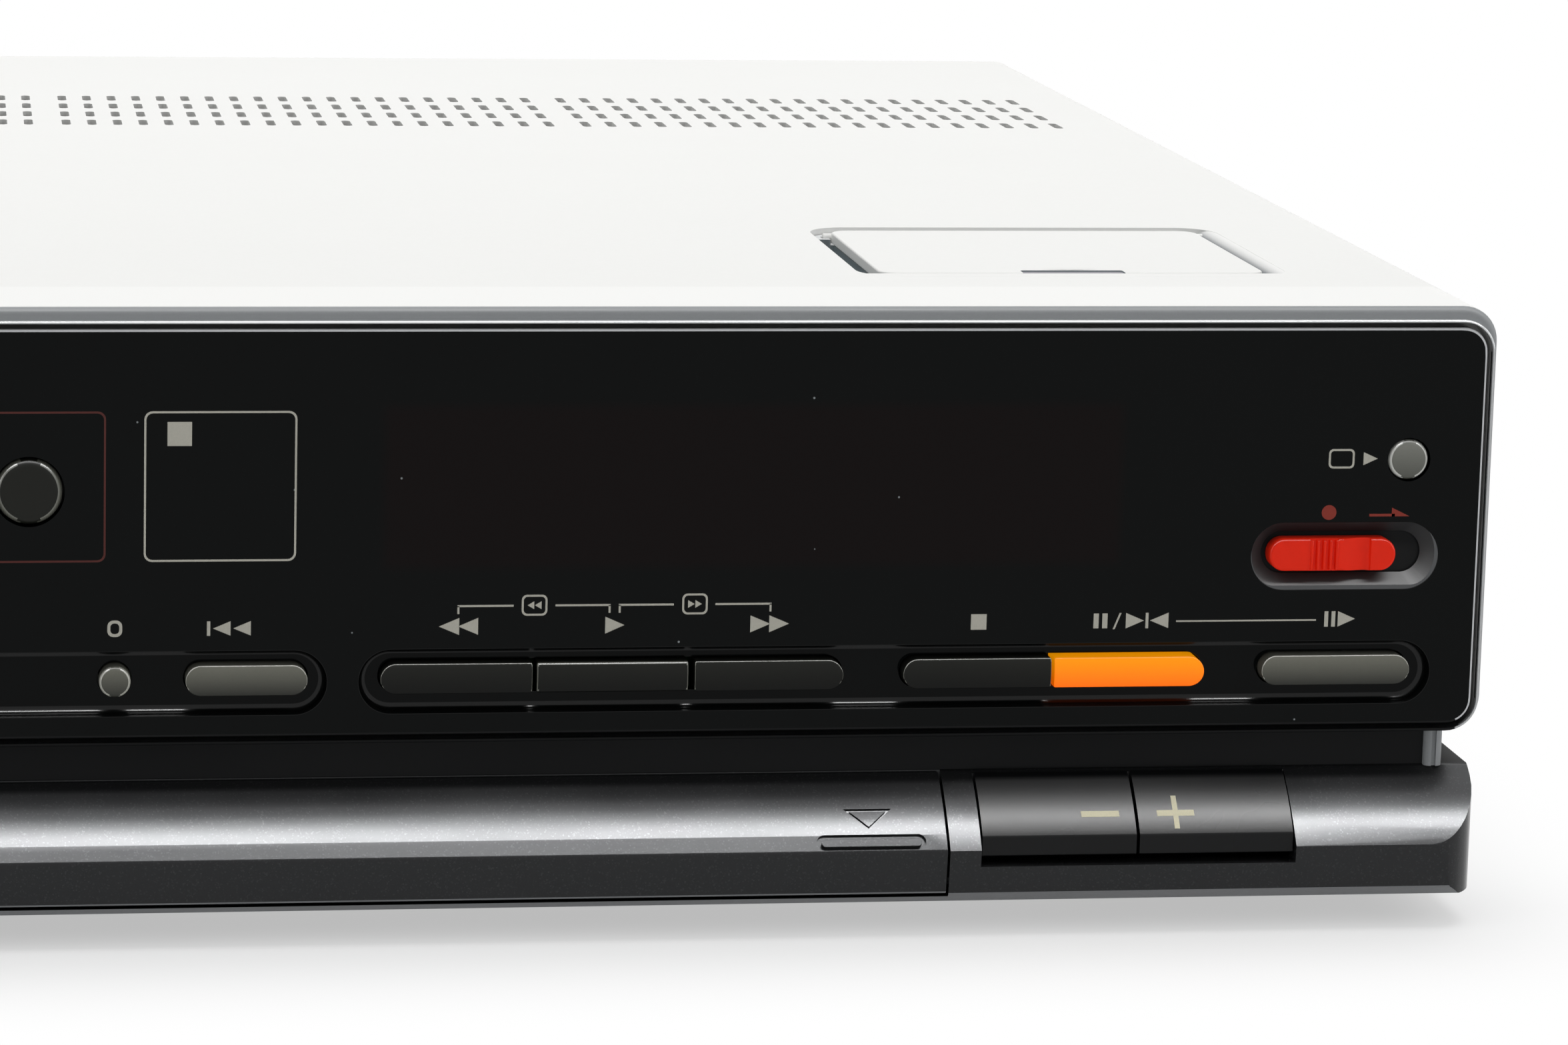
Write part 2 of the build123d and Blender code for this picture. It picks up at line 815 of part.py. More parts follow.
def make_program_key(x0, x1):
    """One channel key that follows the sill's curve and stands a little proud."""
    shape = plate_x(sill_outline(key_proud), x0, x1)
    top = block(x0, x1, panel_y - 20, panel_y + key_back, key_foot, height)
    key = shape & top
    face = panel_y - lip_reach + key_setback
    key -= block(x0 - 1, x1 + 1, panel_y - 20, face, 0, height)
    key -= block(x0 - 1, x1 + 1, panel_y + 1.0, panel_y + key_back + 1, 0, lip_height)
    middle = (x0 + x1) / 2
    stem_y = panel_y + key_back - key_stem_radius
    return key + rod_z(middle, stem_y, key_stem_radius, key_foot, lip_height + 1)


def make_tracking_knob():
    """Round knob on a shaft through the wall behind the front door."""
    wall_y = panel_y + pocket_back
    knob = rod_y(knob_x, control_height, knob_radius, wall_y - knob_reach, wall_y - running_gap)
    shaft_end = wall_y + moulding_wall + running_gap + control_flange
    knob += rod_y(knob_x, control_height, knob_shaft_radius, wall_y - 1, shaft_end)
    flange_y = wall_y + moulding_wall + running_gap
    return knob + rod_y(knob_x, control_height, knob_shaft_radius + 1.2, flange_y, shaft_end)


def make_speed_switch():
    """Slide switch cap behind the front door, with its foot behind the wall."""
    wall_y = panel_y + pocket_back
    side = switch_length / 2
    rise = switch_height / 2
    cap = block(switch_x - side, switch_x + side, wall_y - switch_reach, wall_y - running_gap,
                control_height - rise, control_height + rise)
    back = wall_y + moulding_wall + running_gap + control_flange
    cap += block(switch_x - side / 2, switch_x + side / 2, wall_y - 1, back,
                 control_height - rise + 0.6, control_height + rise - 0.6)
    return cap + block(switch_x - side / 2, switch_x + side / 2, back - control_flange, back,
                       control_height - rise - 1, control_height + rise + 1)


# Top cover, lid and tray

def cover_section(inset, low):
    """The cover seen from the front, filled, with round top corners."""
    radius = corner_radius - inset
    side = half - inset
    top = height - inset
    lines = [
        Line((-side, low), (side, low)),
        Line((side, low), (side, top - radius)),
        RadiusArc((side, top - radius), (side - radius, top), -radius),
        Line((side - radius, top), (-side + radius, top)),
        RadiusArc((-side + radius, top), (-side, top - radius), -radius),
        Line((-side, top - radius), (-side, low)),
    ]
    return make_face(Wire(lines))


def vent_centres():
    """Centre of every vent slot, group by group and row by row."""
    group_step = (slots_per_group - 1) * slot_pitch + group_gap
    for row in range(slot_rows):
        y = panel_y + slot_row_first + row * slot_row_pitch
        for side in (-1, 1):
            for group in (0, 1):
                for slot in range(slots_per_group):
                    yield side * (slot_first + group * group_step + slot * slot_pitch), y


def make_top_cover():
    """Painted sheet cover: top, sides, rear lip, vent slots and the way for the tray."""
    section = cover_section(0, cover_foot) - cover_section(cover_sheet, cover_foot - 1)
    cover = plate_y(section, frame_back, rear_y + rear_sheet)
    roof_half = half - corner_radius
    roof = area(-roof_half, roof_half, frame_back + 10, rear_y - 10)
    slots = [Pos(x, y) * SlotOverall(slot_length, slot_breadth, rotation=90) for x, y in vent_centres()]
    roof = roof - slots
    way = area(lid_span[0] - tray_border, lid_span[1] + tray_border,
               panel_y + lid_front - tray_border, panel_y + lid_back + tray_border, lid_radius + tray_border)
    roof = roof - way
    cover -= block(-roof_half, roof_half, frame_back + 10, rear_y - 10, height - cover_sheet - 1, height + 1)
    cover += plate_z(roof, height - cover_sheet, height)
    for side in (-1, 1):
        edges = sorted([side * cover_inner, side * (cover_inner - return_flange)])
        top = block_bottom - fit_gap
        cover += block(edges[0], edges[1], frame_back, frame_back + cover_sheet, cover_foot, top)
    lip = block(-rear_lip_half, rear_lip_half, rear_y, rear_y + rear_sheet, height - rear_lip, height - cover_sheet)
    for x in screw_places:
        lip -= rod_y(x, height - cover_sheet - screw_drop, screw_radius + fit_gap, rear_y - 1, rear_y + 3)
    return cover + lip


def make_preset_tray():
    """Moulded tray under the lid, sunk a little below the cover's top."""
    border = tray_border - fit_gap
    radius = lid_radius + border
    x0 = lid_span[0] - border
    x1 = lid_span[1] + border
    y0 = panel_y + lid_front - border
    y1 = panel_y + lid_back + border
    top = height - tray_sink
    tray = plate_z(area(x0, x1, y0, y1, radius), height - lid_thickness - 2 * tray_wall, top)
    y2 = panel_y + lid_front + tray_ledge
    y3 = panel_y + lid_back - tray_ledge - 2
    tray += block(tray_inner[0] - tray_wall, tray_inner[1] + tray_wall, y2 - tray_wall, y3 + tray_wall,
                  tray_floor - tray_wall, top - tray_wall)
    lid_room = area(lid_span[0] - lid_gap, lid_span[1] + lid_gap, panel_y + lid_front - lid_gap,
                    panel_y + lid_back + lid_gap, lid_radius + lid_gap)
    tray -= plate_z(lid_room, height - lid_thickness - lid_gap, height)
    tray -= block(tray_inner[0], tray_inner[1], y2, y3, tray_floor, height)
    pin_reach = lid_pin_length + lid_gap
    tray -= rod_x(lid_axis_y, lid_axis_z, lid_pin_radius + 0.1, lid_span[0] - pin_reach, lid_span[1] + pin_reach)
    tray -= rod_x(lid_axis_y, lid_axis_z, lid_pin_drop + 1.3, lid_span[0] - lid_gap, lid_span[1] + lid_gap)
    middle = (lid_span[0] + lid_span[1]) / 2
    notch = Pos(middle, panel_y + lid_front) * SlotOverall(notch_width, 2 * notch_depth)
    tray -= plate_z(notch, height - lid_thickness - tray_wall, height)
    x, y = wheel_at
    return tray - rod_z(x, panel_y + y, wheel_shaft_radius + shaft_gap, tray_floor - 3, tray_floor + 1)


def make_preset_lid():
    """Flush lid hinged on two pins at its back edge."""
    shape = area(lid_span[0], lid_span[1], panel_y + lid_front, panel_y + lid_back, lid_radius)
    lid = plate_z(shape, height - lid_thickness, height)
    reach = lid_pin_length
    lid += rod_x(lid_axis_y, lid_axis_z, lid_pin_radius, lid_span[0] - reach, lid_span[0] + 4)
    return lid + rod_x(lid_axis_y, lid_axis_z, lid_pin_radius, lid_span[1] - 4, lid_span[1] + reach)


def make_tuning_wheel():
    """Flat wheel in the tray that sets the tuning."""
    x = wheel_at[0]
    y = panel_y + wheel_at[1]
    low = tray_floor + running_gap
    wheel = rod_z(x, y, wheel_radius, low, low + wheel_height)
    for turn in range(12):
        angle = math.radians(turn * 30)
        rim_x = x + wheel_radius * math.cos(angle)
        rim_y = y + wheel_radius * math.sin(angle)
        wheel -= rod_z(rim_x, rim_y, 0.6, low - 1, low + wheel_height + 1)
    foot = tray_floor - tray_wall - running_gap
    wheel += rod_z(x, y, wheel_shaft_radius, foot - 1, low + 1)
    return wheel + rod_z(x, y, wheel_shaft_radius + 1, foot - 1, foot)


# Pan, rear, feet and screws

def make_base_pan():
    """Steel pan with low side flanges and a front flange behind the sill."""
    front = frame_back
    pan = block(-pan_half, pan_half, front, rear_y, foot_height, pan_top)
    flange_back = rear_y - rear_sheet - fit_gap
    for side in (-1, 1):
        edges = sorted([side * pan_half, side * (pan_half - pan_sheet)])
        pan += block(edges[0], edges[1], front + 2 * cover_sheet, flange_back, foot_height, foot_height + pan_flange)
    flange_half = cover_inner - return_flange - fit_gap
    return pan + block(-flange_half, flange_half, front, front + pan_sheet, foot_height, sill_back_top)


def make_rear_panel():
    """Rear sheet with ways for the sockets, the mains inlet and the screws."""
    panel = plate_y(cover_section(cover_sheet + fit_gap, pan_top), rear_y - rear_sheet, rear_y)
    for x in phono_places:
        panel -= rod_y(x, phono_z, phono_collar + fit_gap, rear_y - 3, rear_y + 1)
    for x in aerial_places:
        panel -= rod_y(x, aerial_z, aerial_radius + fit_gap, rear_y - 3, rear_y + 1)
    wall = inlet_wall - fit_gap
    panel -= block(inlet_span[0] + wall, inlet_span[1] - wall, rear_y - 3, rear_y + 1,
                   inlet_low + wall, inlet_high - wall)
    for x in screw_places:
        panel -= rod_y(x, height - cover_sheet - screw_drop, screw_radius + fit_gap, rear_y - 3, rear_y + 1)
    for row in range(rear_vents):
        z = rear_vent_low + row * rear_vent_pitch
        panel -= block(rear_vent_span[0], rear_vent_span[1], rear_y - 3, rear_y + 1, z, z + rear_vent_height)
    return panel


def make_feet():
    """Four round feet under the pan."""
    feet = []
    for x, y in foot_places:
        foot = rod_z(x, y, foot_radius, 0, foot_height)
        edge = foot.faces().sort_by(Axis.Z)[0].edges()
        feet.append(chamfer(edge, 1.0))
    return Compound(children=feet)


def make_cover_screws():
    """Screws through the cover's rear lip into the rear panel."""
    screws = []
    z = height - cover_sheet - screw_drop
    seat = rear_y + rear_sheet
    for x in screw_places:
        screw = rod_y(x, z, screw_head_radius, seat, seat + screw_head)
        screw += rod_y(x, z, screw_radius, seat - screw_reach, seat + 1)
        slot = block(x - 2, x + 2, seat + screw_head - 0.8, seat + screw_head + 1, z - 0.4, z + 0.4)
        slot += block(x - 0.4, x + 0.4, seat + screw_head - 0.8, seat + screw_head + 1, z - 2, z + 2)
        screws.append(screw - slot)
    return Compound(children=screws)


# Boards, power parts and sockets

def board_on_standoffs(box):
    """A bare board on four posts from the pan, as separate solids."""
    x0, x1, y0, y1 = box
    under = pan_top + board_standoff
    solids = [block(x0, x1, y0, y1, under, under + board_thickness)]
    for x in (x0 + board_inset, x1 - board_inset):
        for y in (y0 + board_inset, y1 - board_inset):
            solids.append(rod_z(x, y, standoff_radius, pan_top, under))
    return solids


def make_main_board():
    """Main signal board with capacitors and chips."""
    solids = board_on_standoffs(main_board_box)
    x0, x1, y0, y1 = main_board_box
    long, wide, high = chip_size
    for column in range(5):
        x = x0 + column_first + column * column_pitch
        solids.append(rod_z(x, y0 + capacitor_row, capacitor_radius, board_top, board_top + capacitor_height))
        for row in chip_rows:
            solids.append(block(x, x + long, y0 + row, y0 + row + wide, board_top, board_top + high))
    return Compound(children=solids)


def make_power_board():
    """Power board with its smoothing capacitors."""
    solids = board_on_standoffs(power_board_box)
    x0, x1, y0, y1 = power_board_box
    for column in range(3):
        x = x0 + smoother_first + column * smoother_pitch
        solids.append(rod_z(x, y1 - smoother_row, smoother_radius, board_top, board_top + smoother_height))
    return Compound(children=solids)


def make_transformer():
    """Mains transformer: laminated core with the winding standing out on both sides."""
    x0, x1, y0, y1 = transformer_box
    core_top = pan_top + transformer_height
    inset = winding_inset
    core = block(x0, x1, y0 + inset, y1 - inset, pan_top, core_top)
    winding = block(x0 + inset, x1 - inset, y0, y1, pan_top + inset, core_top - inset)
    return core + winding


def make_heatsink():
    """Finned heatsink standing on the power board."""
    x0, x1, y0, y1 = heatsink_box
    top = board_top + heatsink_height
    sink = block(x0, x1, y0, y0 + heatsink_back, board_top, top)
    step = (x1 - x0 - fin_thickness) / (fin_count - 1)
    for fin in range(fin_count):
        x = x0 + fin * step
        sink += block(x, x + fin_thickness, y0, y1, board_top, top)
    return sink


def make_tuner_can():
    """Screened tuner box on the main board."""
    x0, x1, y0, y1 = tuner_box
    can = block(x0, x1, y0, y1, board_top, board_top + tuner_height)
    groove = block(x0 - 1, x1 + 1, y0 - 1, y1 + 1, board_top + tuner_height - 4, board_top + tuner_height - 3.6)
    inner = block(x0 + 0.3, x1 - 0.3, y0 + 0.3, y1 - 0.3, board_top, board_top + tuner_height)
    return can - (groove - inner)


def make_phono_sockets():
    """Four phono sockets that stand out of the rear panel."""
    sockets = []
    inner = rear_y - rear_sheet
    for x in phono_places:
        flange = phono_flange
        socket = block(x - flange, x + flange, inner - 8, inner, phono_z - flange, phono_z + flange)
        socket += rod_y(x, phono_z, phono_collar, inner - 1, rear_y)
        socket += rod_y(x, phono_z, phono_radius, inner - 1, rear_y + socket_reach)
        end = rear_y + socket_reach
        socket -= rod_y(x, phono_z, phono_bore, end - phono_bore_depth, end + 1)
        sockets.append(socket)
    return Compound(children=sockets)


def make_aerial_block():
    """Screened aerial block: one socket in, one plug out."""
    inner = rear_y - rear_sheet
    end = rear_y + socket_reach
    body = block(aerial_box[0], aerial_box[1], inner - aerial_depth, inner, aerial_low, aerial_high)
    socket_x, plug_x = aerial_places
    body += rod_y(socket_x, aerial_z, aerial_radius, inner - 1, end)
    body -= rod_y(socket_x, aerial_z, aerial_bore, rear_y - 1, end + 1)
    body += rod_y(plug_x, aerial_z, aerial_radius, inner - 1, rear_y)
    body += rod_y(plug_x, aerial_z, aerial_pin_radius, inner - 1, end)
    return body - rod_y(plug_x, aerial_z, aerial_pin_radius - 0.8, rear_y, end + 1)


def make_mains_inlet():
    """Two-pin mains inlet behind the rear panel."""
    inner = rear_y - rear_sheet
    x0, x1 = inlet_span
    wall = inlet_wall
    body = block(x0, x1, inner - inlet_depth, inner, inlet_low, inlet_high)
    body -= block(x0 + wall, x1 - wall, inner - inlet_depth + wall, inner + 1, inlet_low + wall, inlet_high - wall)
    middle = (x0 + x1) / 2
    z = (inlet_low + inlet_high) / 2
    for side in (-1, 1):
        x = middle + side * inlet_pin_spacing / 2
        body += rod_y(x, z, inlet_pin_radius, inner - inlet_depth + 1, inner - 2)
    return body


# Tape deck

def reel_places():
    """Centres of the supply reel and the take-up reel."""
    return [(cassette_x - reel_spacing / 2, reel_y), (cassette_x + reel_spacing / 2, reel_y)]


def make_deck_plate():
    """Deck plate with its fixed posts for reels and arms."""
    x0 = cassette_x - deck_half_width
    x1 = cassette_x + deck_half_width
    deck = block(x0, x1, deck_front, deck_back, deck_low, deck_top)
    for x, y in reel_places():
        deck += rod_z(x, y, spindle_post_radius, deck_low, spindle_post_top)
    for x, y in (pinch_pivot, tension_pivot):
        deck += rod_z(x, y, pivot_radius, deck_low, pivot_top)
    x, y = capstan_at
    return deck - rod_z(x, y, housing_radius + shaft_gap, deck_low - 1, deck_top + 1)


def make_deck_pillars():
    """Four pillars between the pan and the deck plate."""
    pillars = []
    for x in (cassette_x - deck_half_width + pillar_inset, cassette_x + deck_half_width - pillar_inset):
        for y in (deck_front + pillar_inset, deck_back - pillar_inset):
            pillars.append(rod_z(x, y, pillar_radius, pan_top, deck_low))
    return Compound(children=pillars)


def make_lower_drum():
    """Fixed lower head drum with its shaft."""
    drum = rod_z(cassette_x, drum_y, drum_radius, deck_top, lower_drum_top)
    return drum + rod_z(cassette_x, drum_y, drum_shaft_radius, lower_drum_top - 1, upper_drum_top - 2)


def make_upper_drum():
    """Spinning head drum on the lower drum's shaft."""
    low = lower_drum_top + drum_gap
    drum = rod_z(cassette_x, drum_y, drum_radius, low, upper_drum_top - 2)
    drum += rod_z(cassette_x, drum_y, drum_cap_radius, upper_drum_top - 2, upper_drum_top)
    return drum - rod_z(cassette_x, drum_y, drum_shaft_radius + shaft_gap, low - 1, upper_drum_top - 2 + running_gap)


def make_loading_ring():
    """Ring round the drum that carries two tape guides."""
    ring = rod_z(cassette_x, drum_y, ring_outer, ring_low, ring_low + ring_thickness)
    ring -= rod_z(cassette_x, drum_y, ring_inner, ring_low - 1, ring_low + ring_thickness + 1)
    for degrees in ring_pin_angles:
        angle = math.radians(degrees)
        x = cassette_x + ring_pin_circle * math.cos(angle)
        y = drum_y + ring_pin_circle * math.sin(angle)
        ring += rod_z(x, y, ring_pin_radius, ring_low, ring_pin_top)
    return ring


def make_capstan_housing():
    """Capstan bearing pressed through the deck plate."""
    x, y = capstan_at
    housing = rod_z(x, y, housing_radius, housing_low, housing_top)
    housing += rod_z(x, y, housing_flange, deck_top, deck_top + deck_sheet)
    return housing - rod_z(x, y, housing_bore, housing_low - 1, housing_top + 1)


def make_capstan():
    """Capstan shaft with its flywheel under the deck."""
    x, y = capstan_at
    capstan = rod_z(x, y, capstan_radius, flywheel_low, capstan_top)
    return capstan + rod_z(x, y, flywheel_radius, flywheel_low, flywheel_low + flywheel_thickness)


def arm_on_pivot(pivot, length, degrees):
    """A flat arm on its hub, with the centre of its far end."""
    angle = math.radians(degrees)
    end = (pivot[0] + length * math.cos(angle), pivot[1] + length * math.sin(angle))
    top = arm_low + arm_thickness
    bar = Pos((pivot[0] + end[0]) / 2, (pivot[1] + end[1]) / 2) * SlotCenterToCenter(
        length, 2 * arm_half_width, rotation=degrees)
    arm = plate_z(bar, arm_low, top)
    arm += rod_z(pivot[0], pivot[1], arm_hub_radius, deck_top + running_gap, top)
    arm -= rod_z(pivot[0], pivot[1], pivot_radius + shaft_gap, deck_top, top + 1)
    return arm, end


def make_pinch_arm():
    """Arm that swings the pinch roller to the capstan."""
    arm, end = arm_on_pivot(pinch_pivot, pinch_arm_length, pinch_rest_angle)
    pin_top = arm_low + arm_thickness + running_gap + roller_height + 1
    return arm + rod_z(end[0], end[1], roller_pin_radius, arm_low, pin_top)


def make_pinch_roller():
    """Rubber roller on the pinch arm's pin."""
    arm, end = arm_on_pivot(pinch_pivot, pinch_arm_length, pinch_rest_angle)
    low = arm_low + arm_thickness + running_gap
    roller = rod_z(end[0], end[1], roller_radius, low, low + roller_height)
    return roller - rod_z(end[0], end[1], roller_pin_radius + shaft_gap, low - 1, low + roller_height + 1)


def make_tension_arm():
    """Arm that feels the tape's tension on the supply side."""
    arm, end = arm_on_pivot(tension_pivot, tension_arm_length, tension_rest_angle)
    return arm + rod_z(end[0], end[1], roller_pin_radius, arm_low, arm_pin_top)


def make_reel_table(place):
    """Reel table with its splined spindle on a fixed post."""
    x, y = place
    low = deck_top + running_gap
    table = rod_z(x, y, reel_radius, reel_table_top - reel_flange, reel_table_top)
    table += rod_z(x, y, spindle_radius, low, spindle_top)
    for fin in range(3):
        angle = math.radians(90 + fin * 120)
        rim_x = x + spindle_radius * math.cos(angle)
        rim_y = y + spindle_radius * math.sin(angle)
        table += rod_z(rim_x, rim_y, 1.2, reel_table_top, spindle_top - 1)
    return table - rod_z(x, y, spindle_post_radius + shaft_gap, low - 1, spindle_post_top + running_gap)


def make_tape_guides():
    """Fixed guide posts with a collar at the top and bottom."""
    guides = []
    for x, y in guide_places:
        guide = rod_z(x, y, guide_radius, deck_top, guide_top)
        guide += rod_z(x, y, guide_collar_radius, deck_top, deck_top + guide_collar)
        guide += rod_z(x, y, guide_collar_radius, guide_top - guide_collar, guide_top)
        guides.append(guide)
    return Compound(children=guides)


def make_tape_head(place):
    """A fixed tape head standing on its bracket."""
    x, y = place
    wide = head_width / 2
    long = head_length / 2
    head = block(x - wide, x + wide, y - long, y + long, deck_top + head_bracket, head_top)
    return head + block(x - wide, x + wide, y - long - 2, y + long + 2, deck_top, deck_top + head_bracket)


def make_loading_motor():
    """Small motor that drives the loading ring and the carriage."""
    x, y = motor_at
    motor = rod_z(x, y, motor_radius, deck_top, motor_top)
    return motor + rod_z(x, y, motor_boss_radius, motor_top, motor_top + motor_boss)


# Cassette holder, carriage and rails

def holder_pin_centres():
    """Y positions of the holder's side pins."""
    return [holder_y + holder_pin_inset, holder_y + holder_length - holder_pin_inset]


def rail_pin_centres():
    """Y positions of the carriage's side pins."""
    return [holder_y + rail_pin_inset, holder_y + holder_length - rail_pin_inset]


def make_cassette_holder():
    """Sheet box that holds the cassette, open in front and over the spindles."""
    y0 = holder_y
    y1 = holder_y + holder_length
    outer = area(-holder_outer, holder_outer, holder_floor, holder_top + holder_sheet)
    inner = area(-holder_half, holder_half, holder_floor + holder_sheet, holder_top)
    gap_half = holder_half - holder_lip
    gap = area(-gap_half, gap_half, holder_top - 1, holder_top + holder_sheet + 1)
    holder = Pos(cassette_x, 0, 0) * plate_y(outer - inner - gap, y0, y1)
    stop_x0 = cassette_x - holder_half
    stop_x1 = cassette_x - holder_half + holder_lip
    holder += block(stop_x0, stop_x1, y1 - holder_sheet, y1, holder_floor, holder_top)
    stop_x0 = cassette_x + holder_half - holder_lip
    stop_x1 = cassette_x + holder_half
    holder += block(stop_x0, stop_x1, y1 - holder_sheet, y1, holder_floor, holder_top)
    for x, y in reel_places():
        holder -= rod_z(x, y - carriage_travel, spindle_hole, holder_floor - 1, holder_floor + holder_sheet + 1)
    z = holder_floor + holder_pin_rise
    for y in holder_pin_centres():
        for side in (-1, 1):
            ends = sorted([cassette_x + side * holder_half, cassette_x + side * carriage_outer])
            pin = rod_x(y, z, holder_pin_radius, ends[0], ends[1])
            holder += pin
    hollow = block(cassette_x - holder_half, cassette_x + holder_half, y0, y1 - holder_sheet,
                   holder_floor + holder_sheet, holder_top)
    return holder - hollow


def make_cassette_carriage():
    """Two side plates joined over the holder, with pins that run in the rails."""
    y0 = holder_y
    y1 = holder_y + holder_length
    carriage = block(cassette_x - carriage_inner, cassette_x + carriage_inner, y1 - bridge_length, y1,
                     plate_high - carriage_sheet, plate_high)
    pin_z = holder_floor + holder_pin_rise
    reach = holder_pin_radius + running_gap
    for side in (-1, 1):
        ends = sorted([cassette_x + side * carriage_inner, cassette_x + side * carriage_outer])
        plate = block(ends[0], ends[1], y0, y1, plate_low, plate_high)
        for y in holder_pin_centres():
            track = area(y - reach, y + reach, pin_z - drop_travel - reach, pin_z + reach, reach * 0.98)
            plate -= plate_x(track, ends[0] - 1, ends[1] + 1)
        carriage += plate
        for y in rail_pin_centres():
            pin_ends = sorted([cassette_x + side * carriage_inner, cassette_x + side * rail_outer])
            carriage += rod_x(y, holder_floor + rail_pin_rise, rail_pin_radius, pin_ends[0], pin_ends[1])
    return carriage


def make_carriage_rails():
    """Two fixed side plates with the slots that guide the carriage."""
    rails = []
    y0 = panel_y + rail_front
    reach = rail_pin_radius + running_gap
    z = holder_floor + rail_pin_rise
    first, last = rail_pin_centres()
    for side in (-1, 1):
        ends = sorted([cassette_x + side * rail_inner, cassette_x + side * rail_outer])
        rail = block(ends[0], ends[1], y0, rail_end, deck_top, rail_top)
        track = pill(first - reach, last + carriage_travel + reach, z - reach, z + reach)
        rails.append(rail - plate_x(track, ends[0] - 1, ends[1] + 1))
    return Compound(children=rails)


def build_all():
    """Every piece of the recorder by its name."""
    pieces = {
        "base_pan": make_base_pan(),
        "rear_panel": make_rear_panel(),
        "top_cover": make_top_cover(),
        "front_frame": make_front_frame(),
        "front_window": make_front_window(),
        "front_sill": make_front_sill(),
        "feet": make_feet(),
        "cover_screws": make_cover_screws(),
        "main_board": make_main_board(),
        "power_board": make_power_board(),
        "transformer": make_transformer(),
        "heatsink": make_heatsink(),
        "tuner_can": make_tuner_can(),
        "aerial_block": make_aerial_block(),
        "phono_sockets": make_phono_sockets(),
        "mains_inlet": make_mains_inlet(),
        "display_tube": make_display_tube(),
        "remote_receiver": make_remote_receiver(),
        "front_board": make_front_board(),
        "deck_plate": make_deck_plate(),
        "deck_pillars": make_deck_pillars(),
        "lower_drum": make_lower_drum(),
        "capstan_housing": make_capstan_housing(),
        "erase_head": make_tape_head(erase_head_at),
        "audio_head": make_tape_head(audio_head_at),
        "tape_guides": make_tape_guides(),
        "carriage_rails": make_carriage_rails(),
        "loading_motor": make_loading_motor(),
        "preset_tray": make_preset_tray(),
        "front_door": make_front_door(),
        "preset_lid": make_preset_lid(),
        "cassette_door": make_cassette_door(),
        "record_slider": make_record_slider(),
        "cassette_carriage": make_cassette_carriage(),
        "cassette_holder": make_cassette_holder(),
        "upper_drum": make_upper_drum(),
        "capstan": make_capstan(),
        "supply_reel": make_reel_table(reel_places()[0]),
        "takeup_reel": make_reel_table(reel_places()[1]),
        "loading_ring": make_loading_ring(),
        "pinch_arm": make_pinch_arm(),
        "pinch_roller": make_pinch_roller(),
        "tension_arm": make_tension_arm(),
        "tracking_knob": make_tracking_knob(),
        "speed_switch": make_speed_switch(),
        "tuning_wheel": make_tuning_wheel(),
    }
    for name, x0, x1, round_left, round_right in row_buttons:
        pieces[name] = make_row_button(x0, x1, round_left, round_right)
    for name, x, z, radius in round_buttons:
        pieces[name] = make_round_button(x, z, radius)
    for name, x0, x1 in key_spans:
        pieces[name] = make_program_key(x0, x1)
    return pieces


def main():
    """Write one file for each piece."""
    os.makedirs("parts", exist_ok=True)
    for name, piece in build_all().items():
        export_step(piece, os.path.join("parts", name + ".step"))


if __name__ == "__main__":
    main()
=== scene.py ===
import json
import math

import bmesh
import bpy
from mathutils import Matrix, Vector


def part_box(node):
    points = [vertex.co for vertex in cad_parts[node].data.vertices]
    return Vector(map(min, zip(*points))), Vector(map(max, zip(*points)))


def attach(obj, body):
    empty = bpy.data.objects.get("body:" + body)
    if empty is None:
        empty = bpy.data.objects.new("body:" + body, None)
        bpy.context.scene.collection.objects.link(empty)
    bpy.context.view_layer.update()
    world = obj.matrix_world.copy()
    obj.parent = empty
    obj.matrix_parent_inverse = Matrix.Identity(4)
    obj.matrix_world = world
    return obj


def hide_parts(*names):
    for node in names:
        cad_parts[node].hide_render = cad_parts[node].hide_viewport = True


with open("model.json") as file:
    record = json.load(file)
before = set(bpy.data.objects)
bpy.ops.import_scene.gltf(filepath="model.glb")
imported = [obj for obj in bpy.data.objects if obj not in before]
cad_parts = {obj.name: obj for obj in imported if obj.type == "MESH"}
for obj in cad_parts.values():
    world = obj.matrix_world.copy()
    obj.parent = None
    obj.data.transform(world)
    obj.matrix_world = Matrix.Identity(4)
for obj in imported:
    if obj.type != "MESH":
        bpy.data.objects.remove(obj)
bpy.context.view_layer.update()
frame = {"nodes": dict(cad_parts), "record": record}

bl_info = {
    "name": "Front-Loading Video Recorder",
    "version": (1, 0, 0),
    "blender": (4, 5, 0),
    "location": "View3D > Sidebar > Recorder",
    "description": "Models the visible pieces of a video recorder over its frame, each with its finish",
    "category": "Add Mesh",
}

MM = 0.001


def box_of(node):
    """The two corners of a CAD node's box, in millimetres."""
    return [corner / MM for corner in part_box(node)]


# Boxes, planes and measures of the frame, in millimetres: the front of the window, the top and half the width
# of the moulding, and the back of the rear panel
window_low, window_high = box_of("front_window")
frame_low, frame_high = box_of("front_frame")
front, top, half = frame_low.y, frame_high.z, frame_high.x
rear = box_of("rear_panel")[1].y
# Corner radii, and the dish round the record slider
rim_corner, window_corner = 5.5, 3.8
dish_low, dish_high = Vector((177.75, front + 0.05, 52.45)), Vector((206.95, front + 1.6, 62.85))
# Channels round the buttons: ends, bottom, top, depth and the rounding of their floor
channels = ((-206.5, 37.5), (42.2, 206.5))
channel_low, channel_high, channel_depth, channel_round = 34.6, 44.4, 2.5, 1.1
# Depth and half the height of a row button's cap, the back of the lip behind it, and its stem
cap_depth, cap_reach, lip_back, stem_radius = 4.8, 2.3, 5.8, 1.5
# The sill's front lip and the top of its foot
lip_front, lip_height, foot_height = box_of("front_sill")[0].y, 13.3, 7.0
